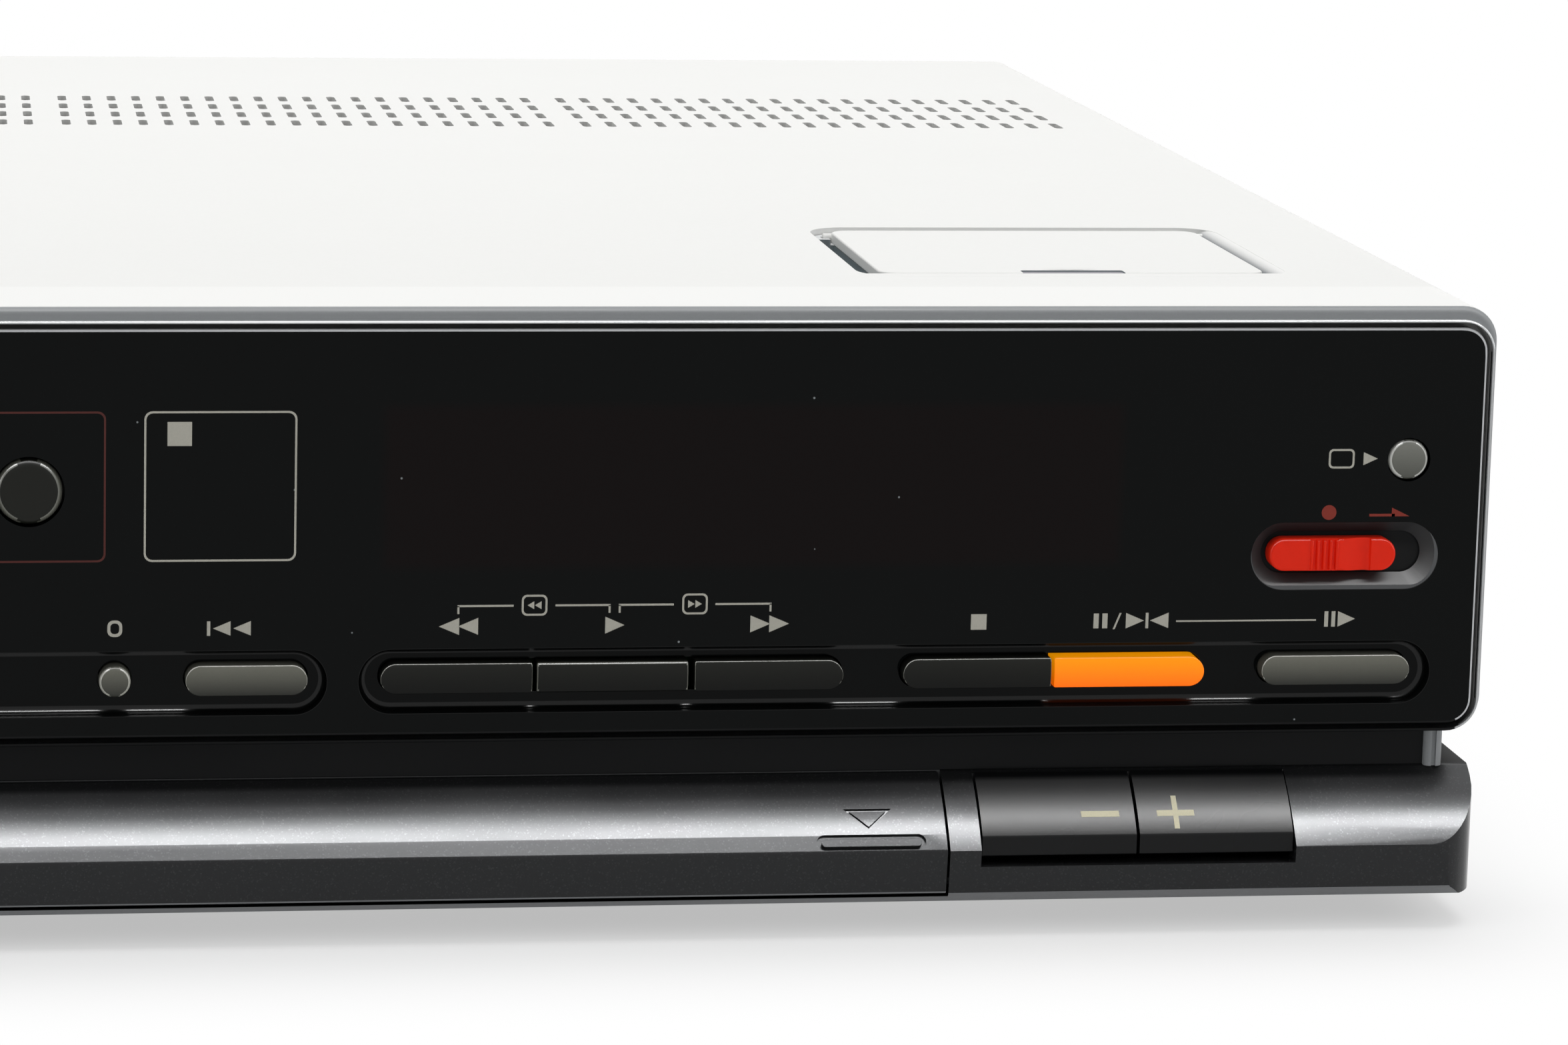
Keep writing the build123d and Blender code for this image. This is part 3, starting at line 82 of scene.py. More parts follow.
# How far the lid's hinge pins stand out, and the radii of a phono socket's ring
lid_pin, socket_flange, socket_bore = 1.2, 6.5, 4.3
slot_of = {piece["node"]: piece["material_slot"] for piece in frame["record"]["subparts"]}


# Sizes and colours a user would change

def linear(text):
    """A hex colour as it looks on a screen, turned to the linear values a shader takes."""
    parts = [int(text[i:i + 2], 16) / 255 for i in (1, 3, 5)]
    return tuple(p / 12.92 if p <= 0.04045 else ((p + 0.055) / 1.055) ** 2.4 for p in parts)


def length(name, description, default):
    """A length property, given in millimetres."""
    return bpy.props.FloatProperty(name=name, description=description, default=default * MM, min=0.0,
                                   precision=5, unit="LENGTH")


def colour(name, description, default):
    """A colour property, given as a hex colour."""
    return bpy.props.FloatVectorProperty(name=name, description=description, default=linear(default), size=3,
                                         min=0.0, max=1.0, subtype="COLOR")


class RecorderSizes(bpy.types.PropertyGroup):
    """Sizes of the details that the modelled pieces add to the frame."""
    rim_round: length("Rim rounding", "Radius along the front edge of the silver moulding", 1.1)
    rim_step: length("Rim step", "How far the outer moulding stands behind the bead", 0.5)
    bead_width: length("Bead width", "Width of the bead round the window", 0.45)
    window_gap: length("Window gap", "Dark gap between the bead and the window", 0.8)
    window_edge: length("Window edge", "Width of the polished edge of the window", 0.42)
    print_height: length("Print height", "How far the printed marks stand out", 0.03)
    line_width: length("Line width", "Width of the printed lines", 0.3)
    button_edge: length("Button edge", "Radius along the front edge of the buttons", 0.5)
    button_crown: length("Button crown", "Radius of the slightly rounded front of the buttons", 9.0)
    lip_round: length("Sill lip rounding", "Radius of the sill's front lip", 0.3)
    grip_depth: length("Grip depth", "Depth of the marks pressed into the front door", 0.5)
    lid_edge: length("Lid edge", "Radius along the edge of the preset lid", 0.35)
    rib_pitch: length("Rib pitch", "Distance between the ribs of the record slider", 0.98)


class RecorderColours(bpy.types.PropertyGroup):
    """Colours of the visible finishes."""
    cover: colour("Cover", "Silver-white enamel of the cover", "#E8E8E6")
    moulding: colour("Moulding", "Satin paint of the front moulding", "#EAEAE8")
    window: colour("Window", "Smoked acrylic of the window", "#050707")
    sill: colour("Sill", "Metallic charcoal paint of the sill", "#292A2B")
    dark_button: colour("Dark buttons", "Moulded caps of the transport buttons", "#1B1C18")
    grey_button: colour("Grey buttons", "Moulded caps of the lesser buttons", "#75756B")
    pause: colour("Pause button", "Lit amber cap of the pause button", "#FF7400")
    slider: colour("Record slider", "Glossy red of the record slider", "#F22A10")
    marks: colour("Marks", "Warm grey ink of the printed marks", "#B5B3A8")
    record_marks: colour("Record marks", "Dark red ink beside the record slider", "#852A1C")
    key_marks: colour("Key marks", "Cream ink of the plus and minus marks", "#F0EAC8")


def size(name):
    """A size of the property group, in millimetres."""
    return getattr(bpy.context.scene.recorder_sizes, name) / MM


# Modelling by hand, step by step

def leave_edit():
    """Back to object mode."""
    if bpy.context.mode != "OBJECT":
        bpy.ops.object.mode_set(mode="OBJECT")


def enter_edit():
    """Edit mode with everything selected."""
    bpy.ops.object.mode_set(mode="EDIT")
    bpy.ops.mesh.select_mode(type="VERT")
    bpy.ops.mesh.select_all(action="SELECT")


def only(*objects):
    """Selects these objects and nothing else."""
    leave_edit()
    bpy.ops.object.select_all(action="DESELECT")
    for obj in objects:
        obj.select_set(True)
    if objects:
        bpy.context.view_layer.objects.active = objects[0]


def settle(name):
    """Names the new object and puts its place into its mesh."""
    obj = bpy.context.object
    obj.name = obj.data.name = name
    bpy.ops.object.transform_apply(location=True, rotation=True, scale=True)
    return obj


def add_block(name, low, high):
    """A block between two corners, in millimetres."""
    only()
    middle = [(a + b) / 2 * MM for a, b in zip(low, high)]
    scale = [(b - a) * MM for a, b in zip(low, high)]
    bpy.ops.mesh.primitive_cube_add(size=1.0, location=middle, scale=scale)
    return settle(name)


def add_rod(name, middle, radius, long, axis="Y", sides=48):
    """A round bar about its middle, in millimetres."""
    only()
    turn = {"X": (0, math.pi / 2, 0), "Y": (math.pi / 2, 0, 0), "Z": (0, 0, 0)}[axis]
    place = [value * MM for value in middle]
    bpy.ops.mesh.primitive_cylinder_add(vertices=sides, radius=radius * MM, depth=long * MM, location=place,
                                        rotation=turn)
    return settle(name)


def mid(item):
    """Middle of an edge or face, in millimetres."""
    if isinstance(item, bmesh.types.BMEdge):
        return (item.verts[0].co + item.verts[1].co) / 2 / MM
    return item.calc_center_median() / MM


def runs(edge, axis):
    """True where an edge runs along an axis."""
    way = (edge.verts[1].co - edge.verts[0].co).normalized()
    return abs(way["XYZ".index(axis)]) > 0.999


def faces_front(face):
    """True where a face looks to the front."""
    return face.normal.y < -0.98


def pick(obj, kind, test):
    """Opens an object in edit mode with only the edges or faces that pass the test selected."""
    only(obj)
    bpy.ops.object.mode_set(mode="EDIT")
    bpy.ops.mesh.select_mode(type=kind)
    bpy.ops.mesh.select_all(action="DESELECT")
    mesh = bmesh.from_edit_mesh(obj.data)
    mesh.normal_update()
    found = [item for item in {"EDGE": mesh.edges, "FACE": mesh.faces}[kind] if test(item)]
    if not found:
        raise RuntimeError("nothing to shape on " + obj.name)
    for item in found:
        item.select_set(True)
    mesh.select_flush_mode()
    bmesh.update_edit_mesh(obj.data)


def bevel(obj, test, width, segments=3):
    """Rounds or slants the edges that pass the test."""
    pick(obj, "EDGE", test)
    bpy.ops.mesh.bevel(offset_type="OFFSET", offset=width * MM, segments=segments, profile=0.5,
                       affect="EDGES", clamp_overlap=True)
    leave_edit()


def add_rounded(name, low, high, axis, radius, segments=5):
    """A block with its edges along one axis rounded."""
    obj = add_block(name, low, high)
    bevel(obj, lambda edge: runs(edge, axis), radius, segments)
    return obj


def add_pill(name, low, high, segments=12):
    """A block with two fully round ends, seen from the front."""
    return add_rounded(name, low, high, "Y", min(high[0] - low[0], high[2] - low[2]) / 2 - 0.002, segments)


def trace(name, points, move):
    """A flat shape traced from one corner to the next, closed and pulled out to a solid, in millimetres."""
    only()
    bpy.ops.mesh.primitive_plane_add(size=MM, location=Vector(points[0]) * MM)
    enter_edit()
    bpy.ops.mesh.merge(type="CENTER")
    for start, end in zip(points, points[1:]):
        step = (Vector(end) - Vector(start)) * MM
        bpy.ops.mesh.extrude_vertices_move(TRANSFORM_OT_translate={"value": step})
    bpy.ops.mesh.select_all(action="SELECT")
    bpy.ops.mesh.edge_face_add()
    bpy.ops.mesh.extrude_region_move(TRANSFORM_OT_translate={"value": Vector(move) * MM})
    bpy.ops.mesh.select_all(action="SELECT")
    bpy.ops.mesh.normals_make_consistent(inside=False)
    leave_edit()
    return settle(name)


def apply_step(obj, kind, **settings):
    """Adds a modifier with its settings and applies it."""
    step = obj.modifiers.new(kind.lower(), kind)
    for key, value in settings.items():
        setattr(step, key, value)
    only(obj)
    bpy.ops.object.modifier_apply(modifier=step.name)
    return obj


def cut(obj, tool, operation="DIFFERENCE"):
    """Takes one solid out of another, or keeps what they share, and removes the tool."""
    apply_step(obj, "BOOLEAN", operation=operation, solver="EXACT", object=tool)
    bpy.data.objects.remove(tool)
    return obj


def soften(obj, width, segments=2, angle=40):
    """Breaks the sharp edges, as moulded and pressed pieces have them."""
    return apply_step(obj, "BEVEL", limit_method="ANGLE", angle_limit=math.radians(angle), width=width * MM,
                      segments=segments, harden_normals=False)


def join(*objects):
    """Several solids as one object."""
    only(*objects)
    bpy.ops.object.join()
    return objects[0]


def copy_to(obj, name, move):
    """A copy with its own mesh, moved in millimetres."""
    only(obj)
    bpy.ops.object.duplicate(linked=False)
    bpy.ops.transform.translate(value=Vector(move) * MM)
    return settle(name)


def copy_of_node(node, name, flatten=True):
    """The solid of a CAD node as a new object, with its loose triangles merged."""
    mesh = frame["nodes"][node].data.copy()
    obj = bpy.data.objects.new(name, mesh)
    bpy.context.scene.collection.objects.link(obj)
    mesh.materials.clear()
    only(obj)
    bpy.ops.mesh.customdata_custom_splitnormals_clear()
    enter_edit()
    bpy.ops.mesh.remove_doubles(threshold=0.000002)
    if flatten:
        bpy.ops.mesh.dissolve_limited(angle_limit=math.radians(0.4))
    leave_edit()
    return obj


def face_finish(obj, look, test):
    """Gives the faces that pass the test another finish, after the piece is complete."""
    obj.data.materials.append(finishes[look])
    place = len(obj.data.materials) - 1
    for face in obj.data.polygons:
        if test(face.center / MM, face.normal):
            face.material_index = place


def complete(obj, body, slot, look=None, nodes=(), lean=50):
    """Smooths a piece, gives it its finish and sets it on the body that carries it."""
    only(obj)
    enter_edit()
    bpy.ops.mesh.normals_make_consistent(inside=False)
    leave_edit()
    bpy.ops.object.shade_smooth_by_angle(angle=math.radians(35))
    apply_step(obj, "WEIGHTED_NORMAL", keep_sharp=True, weight=lean)
    obj.data.materials.clear()
    obj.data.materials.append(finishes[look or slot])
    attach(obj, body)
    if nodes:
        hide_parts(*nodes)
    return obj


# Finishes

def add(tree, kind, values=(), links=(), **settings):
    """Adds a node with its settings, its input values and its links."""
    node = tree.nodes.new("ShaderNode" + kind)
    for key, value in settings.items():
        setattr(node, key, value)
    for key, value in dict(values).items():
        node.inputs[key].default_value = value
    for key, (source, output) in dict(links).items():
        tree.links.new(source.outputs[output], node.inputs[key])
    return node


def compute(tree, operation, *inputs):
    """Adds a calculation on numbers and on outputs of other nodes."""
    values = {place: value for place, value in enumerate(inputs) if not isinstance(value, tuple)}
    links = {place: value for place, value in enumerate(inputs) if isinstance(value, tuple)}
    return add(tree, "Math", values, links, operation=operation), 0


def per(grain):
    """Pattern scale for a grain of that many millimetres."""
    return 1.0 / (grain * MM)


def new_tree(data):
    """The empty node tree of a new material or world."""
    data.use_nodes = True
    data.node_tree.nodes.clear()
    return data.node_tree


def finish(name, tint, rough, metal=0.0, grain=0.4, stretch=(1, 1, 1), shade=0.08, bump=0.02,
           specular=0.5, ior=1.5, coat=0.0):
    """A finish whose colour, roughness and surface vary with a grain of a real size."""
    material = bpy.data.materials.new(name)
    tree = new_tree(material)
    tint = linear(tint) if isinstance(tint, str) else tint[:3]
    place = add(tree, "TexCoord")
    turned = add(tree, "Mapping", {"Scale": stretch}, {"Vector": (place, "Object")})
    noise = add(tree, "TexNoise", {"Scale": per(grain), "Detail": 4.0, "Roughness": 0.6},
                {"Vector": (turned, "Vector")})
    cloud = add(tree, "TexNoise", {"Scale": per(35.0), "Detail": 3.0}, {"Vector": (place, "Object")})
    dark = [c * (1 - shade) for c in tint] + [1]
    light = [min(1.0, c * (1 + shade)) for c in tint] + [1]
    tone = add(tree, "Mix", {6: dark, 7: light}, {0: (noise, "Fac")}, data_type="RGBA")
    worn = add(tree, "MapRange", {"From Min": 0.3, "From Max": 0.7, "To Min": rough * 0.9,
                                            "To Max": min(1.0, rough * 1.12)}, {"Value": (cloud, "Fac")})
    relief = add(tree, "Bump", {"Strength": 0.6, "Distance": bump * MM}, {"Height": (noise, "Fac")})
    surface = add(tree, "BsdfPrincipled",
                  {"Metallic": metal, "Specular IOR Level": specular, "IOR": ior, "Coat Weight": coat},
                  {"Base Color": (tone, 2), "Roughness": (worn, "Result"), "Normal": (relief, "Normal")})
    add(tree, "OutputMaterial", links={"Surface": (surface, "BSDF")})
    return material


def node_of(material, kind):
    """The first node of a kind in a finish."""
    return next(node for node in material.node_tree.nodes if node.bl_idname == "ShaderNode" + kind)


def pattern(material, kind, values=(), **settings):
    """Adds a texture or another node that reads the place on the object."""
    place = node_of(material, "TexCoord")
    return add(material.node_tree, kind, values, {"Vector": (place, "Object")}, **settings)


def between(material, source, start, end, reach=1.0, **settings):
    """How far an output has gone from one value to another, from nought to the reach."""
    values = {"From Min": start, "From Max": end, "To Max": reach}
    return add(material.node_tree, "MapRange", values, {"Value": source}, **settings), "Result"


def down_from(material, high, low, **settings):
    """How far a place lies down from one height to another, in millimetres."""
    axes = pattern(material, "SeparateXYZ")
    return between(material, (axes, "Z"), high * MM, low * MM, **settings)


def tint_by(material, factor, other):
    """Blends the base colour of a finish to another where the factor is one."""
    tree = material.node_tree
    surface = node_of(material, "BsdfPrincipled")
    base = surface.inputs["Base Color"].links[0].from_socket
    mixed = add(tree, "Mix", {7: [*linear(other), 1]}, {0: factor}, data_type="RGBA")
    tree.links.new(base, mixed.inputs[6])
    tree.links.new(mixed.outputs[2], surface.inputs["Base Color"])


def enamelled_sheet(name, tint):
    """Silver-white enamel on steel sheet: pale, satin, with the fine orange peel of spray paint."""
    return finish(name, tint, 0.5, grain=0.9, shade=0.015, bump=0.006, specular=0.04)


def painted_moulding(name, tint):
    """Satin silver-white paint on moulded ABS, darkening to near black low on the front: painted shade under
    the moulding.
    """
    material = finish(name, tint, 0.5, grain=0.3, shade=0.03, bump=0.006, specular=0.2)
    # Near black from 38 mm down to 30.5 mm: painted shade low on the front
    tint_by(material, down_from(material, 38.0, 30.5, interpolation_type="SMOOTHSTEP"), "#0C0D0E")
    return material


def smoked_acrylic(name, tint):
    """Cast smoked acrylic: near black and glossy, with the display's dim red area and some specks of dust."""
    material = finish(name, tint, 0.07, grain=14.0, shade=0.2, bump=0.0, specular=0.08, ior=1.49)
    tree = material.node_tree
    axes = pattern(material, "SeparateXYZ")
    inside = []
    for axis, middle, reach in (("X", 101.5, 57.0), ("Z", 69.0, 13.5)):
        away = compute(tree, "ABSOLUTE", compute(tree, "SUBTRACT", (axes, axis), middle * MM))
        full = (reach - 2.5) * MM
        inside.append(between(material, away, reach * MM, full, interpolation_type="SMOOTHSTEP"))
    tint_by(material, compute(tree, "MULTIPLY", *inside), "#0D0606")
    dust = pattern(material, "TexVoronoi", {"Scale": per(9.0), "Randomness": 1.0})
    tint_by(material, between(material, (dust, "Distance"), 0.022, 0.014), "#8A9092")
    return material


def metallic_paint(name, tint):
    """Charcoal paint with aluminium flake over ABS: satin, with a fine sparkle in the light."""
    material = finish(name, tint, 0.21, metal=0.4, grain=0.32, shade=0.12, bump=0.006, specular=0.22)
    flakes = pattern(material, "TexVoronoi", {"Scale": per(0.2), "Randomness": 1.0})
    split = add(material.node_tree, "SeparateColor", links={"Color": (flakes, "Color")})
    tint_by(material, between(material, (split, "Red"), 0.86, 1.0, 0.06), "#8E9092")
    return material


def moulded_plastic(name, tint, rough=0.42, grain=0.35, specular=0.5, metal=0.0):
    """Moulded ABS: even colour, satin, with the faint grain of a spark-eroded mould."""
    return finish(name, tint, rough, metal, grain, shade=0.05, bump=0.008, specular=specular, ior=1.53)


def shaded_plastic(name, tint, high, low, dark, specular=0.2):
    """Moulded ABS whose colour deepens from one height down to another, as it turns away from the light."""
    material = moulded_plastic(name, tint, 0.34, specular=specular)
    tint_by(material, down_from(material, high, low), dark)
    return material


def lit_plastic(name, tint):
    """Translucent amber polycarbonate, lit from behind by its lamp; its glow is yellower at the top, a
    painted highlight, and deeper below.
    """
    material = finish(name, tint, 0.3, grain=1.2, shade=0.03, bump=0.004, specular=0.15, ior=1.58)
    tree = material.node_tree
    surface = node_of(material, "BsdfPrincipled")
    # The lamp behind the cap is real; the yellower top of its glow is a painted highlight
    glow_and_painted_highlight = add(tree, "Mix", {6: [*linear("#FFA400"), 1], 7: [*linear("#F05A00"), 1]},
               {0: down_from(material, 42.0, 37.6)}, data_type="RGBA")
    tree.links.new(glow_and_painted_highlight.outputs[2], surface.inputs["Emission Color"])
    surface.inputs["Emission Strength"].default_value = 0.55
    return material


def screen_ink(name, tint):
    """Screen-printed ink: matt and thin, with small pinholes from the mesh."""
    return finish(name, tint, 0.6, grain=0.25, shade=0.12, bump=0.004, specular=0.2, ior=1.45)


def drawn_metal(name, tint, rough=0.35, along=(1, 1, 1), grain=0.5):
    """Rolled, turned or drawn metal: its fine lines stretch along the way it was worked."""
    return finish(name, tint, rough, 1.0, grain, along, 0.12, 0.01)


def grid_over(material, pitch, line, tint):
    """Draws the lines between the bricks of a pattern in another colour."""
    grid = pattern(material, "TexBrick", {
        "Scale": per(pitch), "Mortar Size": line, "Color1": (0, 0, 0, 1), "Color2": (0, 0, 0, 1),
        "Mortar": (1, 1, 1, 1)})
    tint_by(material, (grid, "Color"), tint)
    return material


def board_laminate(name, tint):
    """Glass-epoxy board under green solder mask, with tinned tracks that show through as paler lines."""
    material = finish(name, tint, 0.4, grain=0.6, shade=0.1, bump=0.01)
    return grid_over(material, 9.0, 0.04, "#5F9A62")


def laminated_core(name, tint):
    """Transformer core of stacked silicon steel sheets, dipped in varnish, with thin dark lines between."""
    material = finish(name, tint, 0.45, metal=0.8, grain=2.0, shade=0.15, bump=0.01)
    sheets = pattern(material, "TexWave", {"Scale": per(1.0) / 6.283, "Distortion": 0.1},
                     bands_direction="Y")
    tint_by(material, between(material, (sheets, "Fac"), 0.2, 0.0), "#15110E")
    return material


def filament_glass(name, tint):
    """Fluorescent display behind clear glass: dark, with the faint grid of its unlit segments."""
    material = finish(name, tint, 0.06, grain=3.0, shade=0.1, bump=0.0, ior=1.52, coat=0.5)
    return grid_over(material, 12.0, 0.03, "#39544E")


def black_texture_paint(name, tint):
    """Baked textured paint on steel sheet: matt black with a fine pebbled relief."""
    return finish(name, tint, 0.62, grain=0.7, shade=0.12, bump=0.05)


def rubber(name, tint):
    """Moulded rubber: matt, dark and slightly dusty."""
    return finish(name, tint, 0.82, grain=0.9, shade=0.16, bump=0.03, ior=1.52)


finishes = {}


def make_finishes(colours):
    """Every finish by the name of the record's material slot, and some that only the scene needs."""
    makers = {
        enamelled_sheet: {"cover_paint": ("Enamelled steel sheet", colours.cover)},
        painted_moulding: {"frame_paint": ("Satin painted ABS", colours.moulding)},
        smoked_acrylic: {"window_black": ("Smoked cast acrylic", colours.window)},
        metallic_paint: {"sill_charcoal": ("Metallic charcoal paint", colours.sill)},
        lit_plastic: {"button_orange": ("Lit amber polycarbonate", colours.pause)},
        black_texture_paint: {"rear_paint": ("Textured black enamel", "#1C1D1E")},
        board_laminate: {"board_green": ("Green glass-epoxy board", "#1E5A34")},
        laminated_core: {"core_steel": ("Varnished core sheets", "#6E665C")},
        filament_glass: {"display_glass": ("Display glass", "#141C1C")},
        rubber: {
            "foot_rubber": ("Moulded foot rubber", "#1A1A1A"),
            "roller_rubber": ("Ground roller rubber", "#222020"),
        },
        shaded_plastic: {
            # These finishes darken lower down, or deeper beside the lid: painted shade
            "button_black": ("Black moulded ABS", colours.dark_button, 42.0, 37.8, "#070806", 0.12),
            "button_grey": ("Grey moulded ABS", colours.grey_button, 42.0, 37.8, "#2E2F2A"),
            "input_grey": ("Pale grey moulded ABS", "#84857E", 75.6, 69.4, "#50524C"),
            "ramp_white": ("White moulded ABS", "#E2E2E0", top - 0.06, top - 0.62, "#4E565A", 0.5),
        },
        moulded_plastic: {
            "button_black_edge": ("Polished edge of black ABS", "#6A6B62", 0.3),
            "button_grey_edge": ("Polished edge of grey ABS", "#B4B4AA", 0.3),
            "input_grey_edge": ("Polished edge of pale grey ABS", "#D2D3CD", 0.3),
            "slider_red": ("Glossy red ABS", colours.slider, 0.22, 1.5, 0.1),
            "inlet_black": ("Black phenolic", "#151515", 0.45),
            "tray_grey": ("Light grey moulded ABS", "#C9CBCB", 0.45, 0.6),
            "moat_painted_shade": ("Blue-grey moulded ABS", "#6C777B", 0.5, 0.6),
            "notch_painted_shade": ("Mauve-grey moulded ABS", "#7F7D84", 0.5, 0.6),
            "deck_white": ("White acetal", "#D8D6CC", 0.4, 0.8),
            "socket_yellow": ("Yellow insulating ring", "#D9A80E", 0.38),
            "socket_white": ("White insulating ring", "#D8D8D2", 0.38),
            "socket_red": ("Red insulating ring", "#A3150F", 0.38),
            "painted_shade_black": ("Matt black ABS", "#08090A", 0.5, 0.6, 0.1),
            "channel_black": ("Satin black ABS", "#070808", 0.2, 0.8, 0.2),
            "dish_black": ("Grained black ABS", "#151617", 0.5, 0.5, 0.3),
            "dim_painted_highlight": ("Polished rim of the dish", "#3C3E40", 0.3, 0.5),
            "lower_edge_painted_highlight": ("Worn lower edge", "#6E7072", 0.4, 0.5),
            "key_paint": ("Satin black ABS of the keys", "#0E0F10", 0.28, 0.4, 0.14),
            "window_edge": ("Polished acrylic edge", "#C9CBCD", 0.2, 1.5),
            "rim_silver_painted_shade": ("Satin silver paint", "#8E9193", 0.5, 0.3, 0.2),
            "bead_silver": ("Bright silver paint", "#A6A8A9", 0.24, 0.3, 0.5, 0.3),
        },
        drawn_metal: {
            "zinc_steel": ("Zinc plated rolled steel", "#A9ABA6", 0.36, (1, 0.08, 1), 1.2),
            "screw_black": ("Blackened steel", "#2A2A2C", 0.38),
            "sink_aluminium": ("Extruded aluminium", "#B9BCC0", 0.4, (1, 1, 0.06), 0.8),
            "socket_chrome": ("Nickel plated brass", "#D9D5CC", 0.2, (1, 0.2, 1), 0.4),
            "drum_aluminium": ("Turned aluminium", "#CDD0D3", 0.22, (1, 1, 12), 0.35),
            "head_metal": ("Polished head alloy", "#B8B4A8", 0.18),
            "shaft_steel": ("Ground steel", "#C4C6C8", 0.16, (1, 1, 6), 0.3),
        },
        screen_ink: {
            "marks": ("Warm grey ink", colours.marks),
            "record_marks": ("Dark red ink", colours.record_marks),
            "timer_marks": ("Faded red ink", "#4C1A13"),
            "key_marks": ("Cream ink", colours.key_marks),
        },
    }
    for make, looks in makers.items():
        for look, values in looks.items():
            finishes[look] = make(*values)


def dress_nodes():
    """Gives every CAD node that shows the finish of its material slot."""
    for name, obj in frame["nodes"].items():
        material = finishes[slot_of[name]]
        if not obj.material_slots:
            obj.data.materials.append(material)
        for place in obj.material_slots:
            place.material = material


class RECORDER_OT_finishes(bpy.types.Operator):
    """Make every finish and give it to the nodes of the frame"""
    bl_idname = "recorder.finishes"
    bl_label = "Finishes"

    def execute(self, context):
        make_finishes(context.scene.recorder_colours)
        dress_nodes()
        return {"FINISHED"}


class RECORDER_OT_front_rim(bpy.types.Operator):
    """Model the silver moulding and the bead round the window"""
    bl_idname = "recorder.front_rim"
    bl_label = "Front rim"

    def execute(self, context):
        gap, step, width = size("window_gap"), size("rim_step"), size("bead_width")
        low, high = frame_low, frame_high
        corner, seat, ledge = window_corner + gap, 5.0, 2
        rim = add_rounded("front_rim", (low.x, front + step, low.z), high, "Y", rim_corner, 10)
        bevel(rim, lambda edge: mid(edge).y < front + step + 0.01, size("rim_round"), 5)
        opening_low = Vector((window_low.x - gap, front - 1, window_low.z - gap))
        opening_high = Vector((window_high.x + gap, front + seat, window_high.z + gap))
        cut(rim, add_rounded("opening", opening_low, opening_high, "Y", corner, 10))
        inner_low = (window_low.x + ledge, front - 1, window_low.z + ledge)
        inner_high = (window_high.x - ledge, high.y + 1, window_high.z - ledge)
        cut(rim, add_rounded("opening", inner_low, inner_high, "Y", window_corner - ledge, 6))
        complete(rim, "case", "frame_paint", nodes=["front_frame"])
        # The front band takes a darker silver than the top: painted shade on the faces turned from the top
        # light
        face_finish(rim, "rim_silver_painted_shade", lambda place, normal: place.y < front + 1.4)
        outer_low = opening_low - Vector((width, -1, min(width, opening_low.z - low.z - 0.05)))
        outer_high = Vector((opening_high.x + width, front + step + 0.6, opening_high.z + width))
        bead = add_rounded("window_bead", outer_low, outer_high, "Y", corner + width, 10)
        bevel(bead, lambda edge: mid(edge).y < front + 0.01, 0.45, 3)
        cut(bead, add_rounded("opening", opening_low, opening_high, "Y", corner, 10))
        complete(bead, "case", "frame_paint", "bead_silver")
        # Under the window, the rim's underside gets a dim painted highlight and the bead's a near-black
        # painted shade
        for piece, look in ((rim, "dim_painted_highlight"), (bead, "painted_shade_black")):
            face_finish(piece, look, lambda place, normal: place.y < front + seat + 0.5
                        and place.z < window_low.z + 0.3 and abs(place.x) < window_high.x - ledge)
        return {"FINISHED"}


def inside_window(place):
    """How far a point lies inside the window's rounded outline, seen from the front."""
    low, high = window_low, window_high
    over = [abs(place[i] - (low[i] + high[i]) / 2) - (high[i] - low[i]) / 2 + window_corner for i in (0, 2)]
    if min(over) > 0:
        return window_corner - math.hypot(*over)
    return window_corner - max(over)


def in_channel(place, margin):
    """True inside a channel round the buttons, or within a margin of it."""
    middle, reach = (channel_low + channel_high) / 2, (channel_high - channel_low) / 2
    for x0, x1 in channels:
        across = max(x0 + reach - place.x, place.x - x1 + reach, 0)
        if math.hypot(across, place.z - middle) < reach + margin:
            return True
    return False


def in_dish(place, margin):
    """True within a margin of the dish round the record slider."""
    return all(dish_low[i] - margin < place[i] < dish_high[i] + margin for i in (0, 2))


class RECORDER_OT_window(bpy.types.Operator):
    """Give the smoked window its polished edges and softened channels"""
    bl_idname = "recorder.window"
    bl_label = "Window"

    def execute(self, context):
        window = copy_of_node("front_window", "smoked_window")
        floor = front + channel_depth
        bevel(window, lambda edge: abs(mid(edge).y - floor) < 0.02 and in_channel(mid(edge), 0.15)
              and not in_channel(mid(edge), -0.15), channel_round, 4)
        bevel(window, lambda edge: abs(mid(edge).y - front) < 0.01 and inside_window(mid(edge)) < 0.05,
              size("window_edge"), 2)
        soften(window, 0.25, angle=50)
        complete(window, "case", "window_black", nodes=["front_window"])
        looks = {
            "channel_black": lambda place, normal: place.y < floor + 0.1 and normal.y > -0.998
            and in_channel(place, 0.5),
            "dish_black": lambda place, normal: front + 0.02 < place.y < front + 4 and in_dish(place, 0.6),
            # The window's edge chamfer gets a light grey: painted highlight
            "window_edge": lambda place, normal: inside_window(place) < 0.6 and -0.97 < normal.y < -0.2,
            # Down-facing faces low on the window: near-black painted shade
            "painted_shade_black": lambda place, normal: place.z < window_low.z + 0.6 and normal.z < -0.3,
        }
        for look, test in looks.items():
            face_finish(window, look, test)
        return {"FINISHED"}


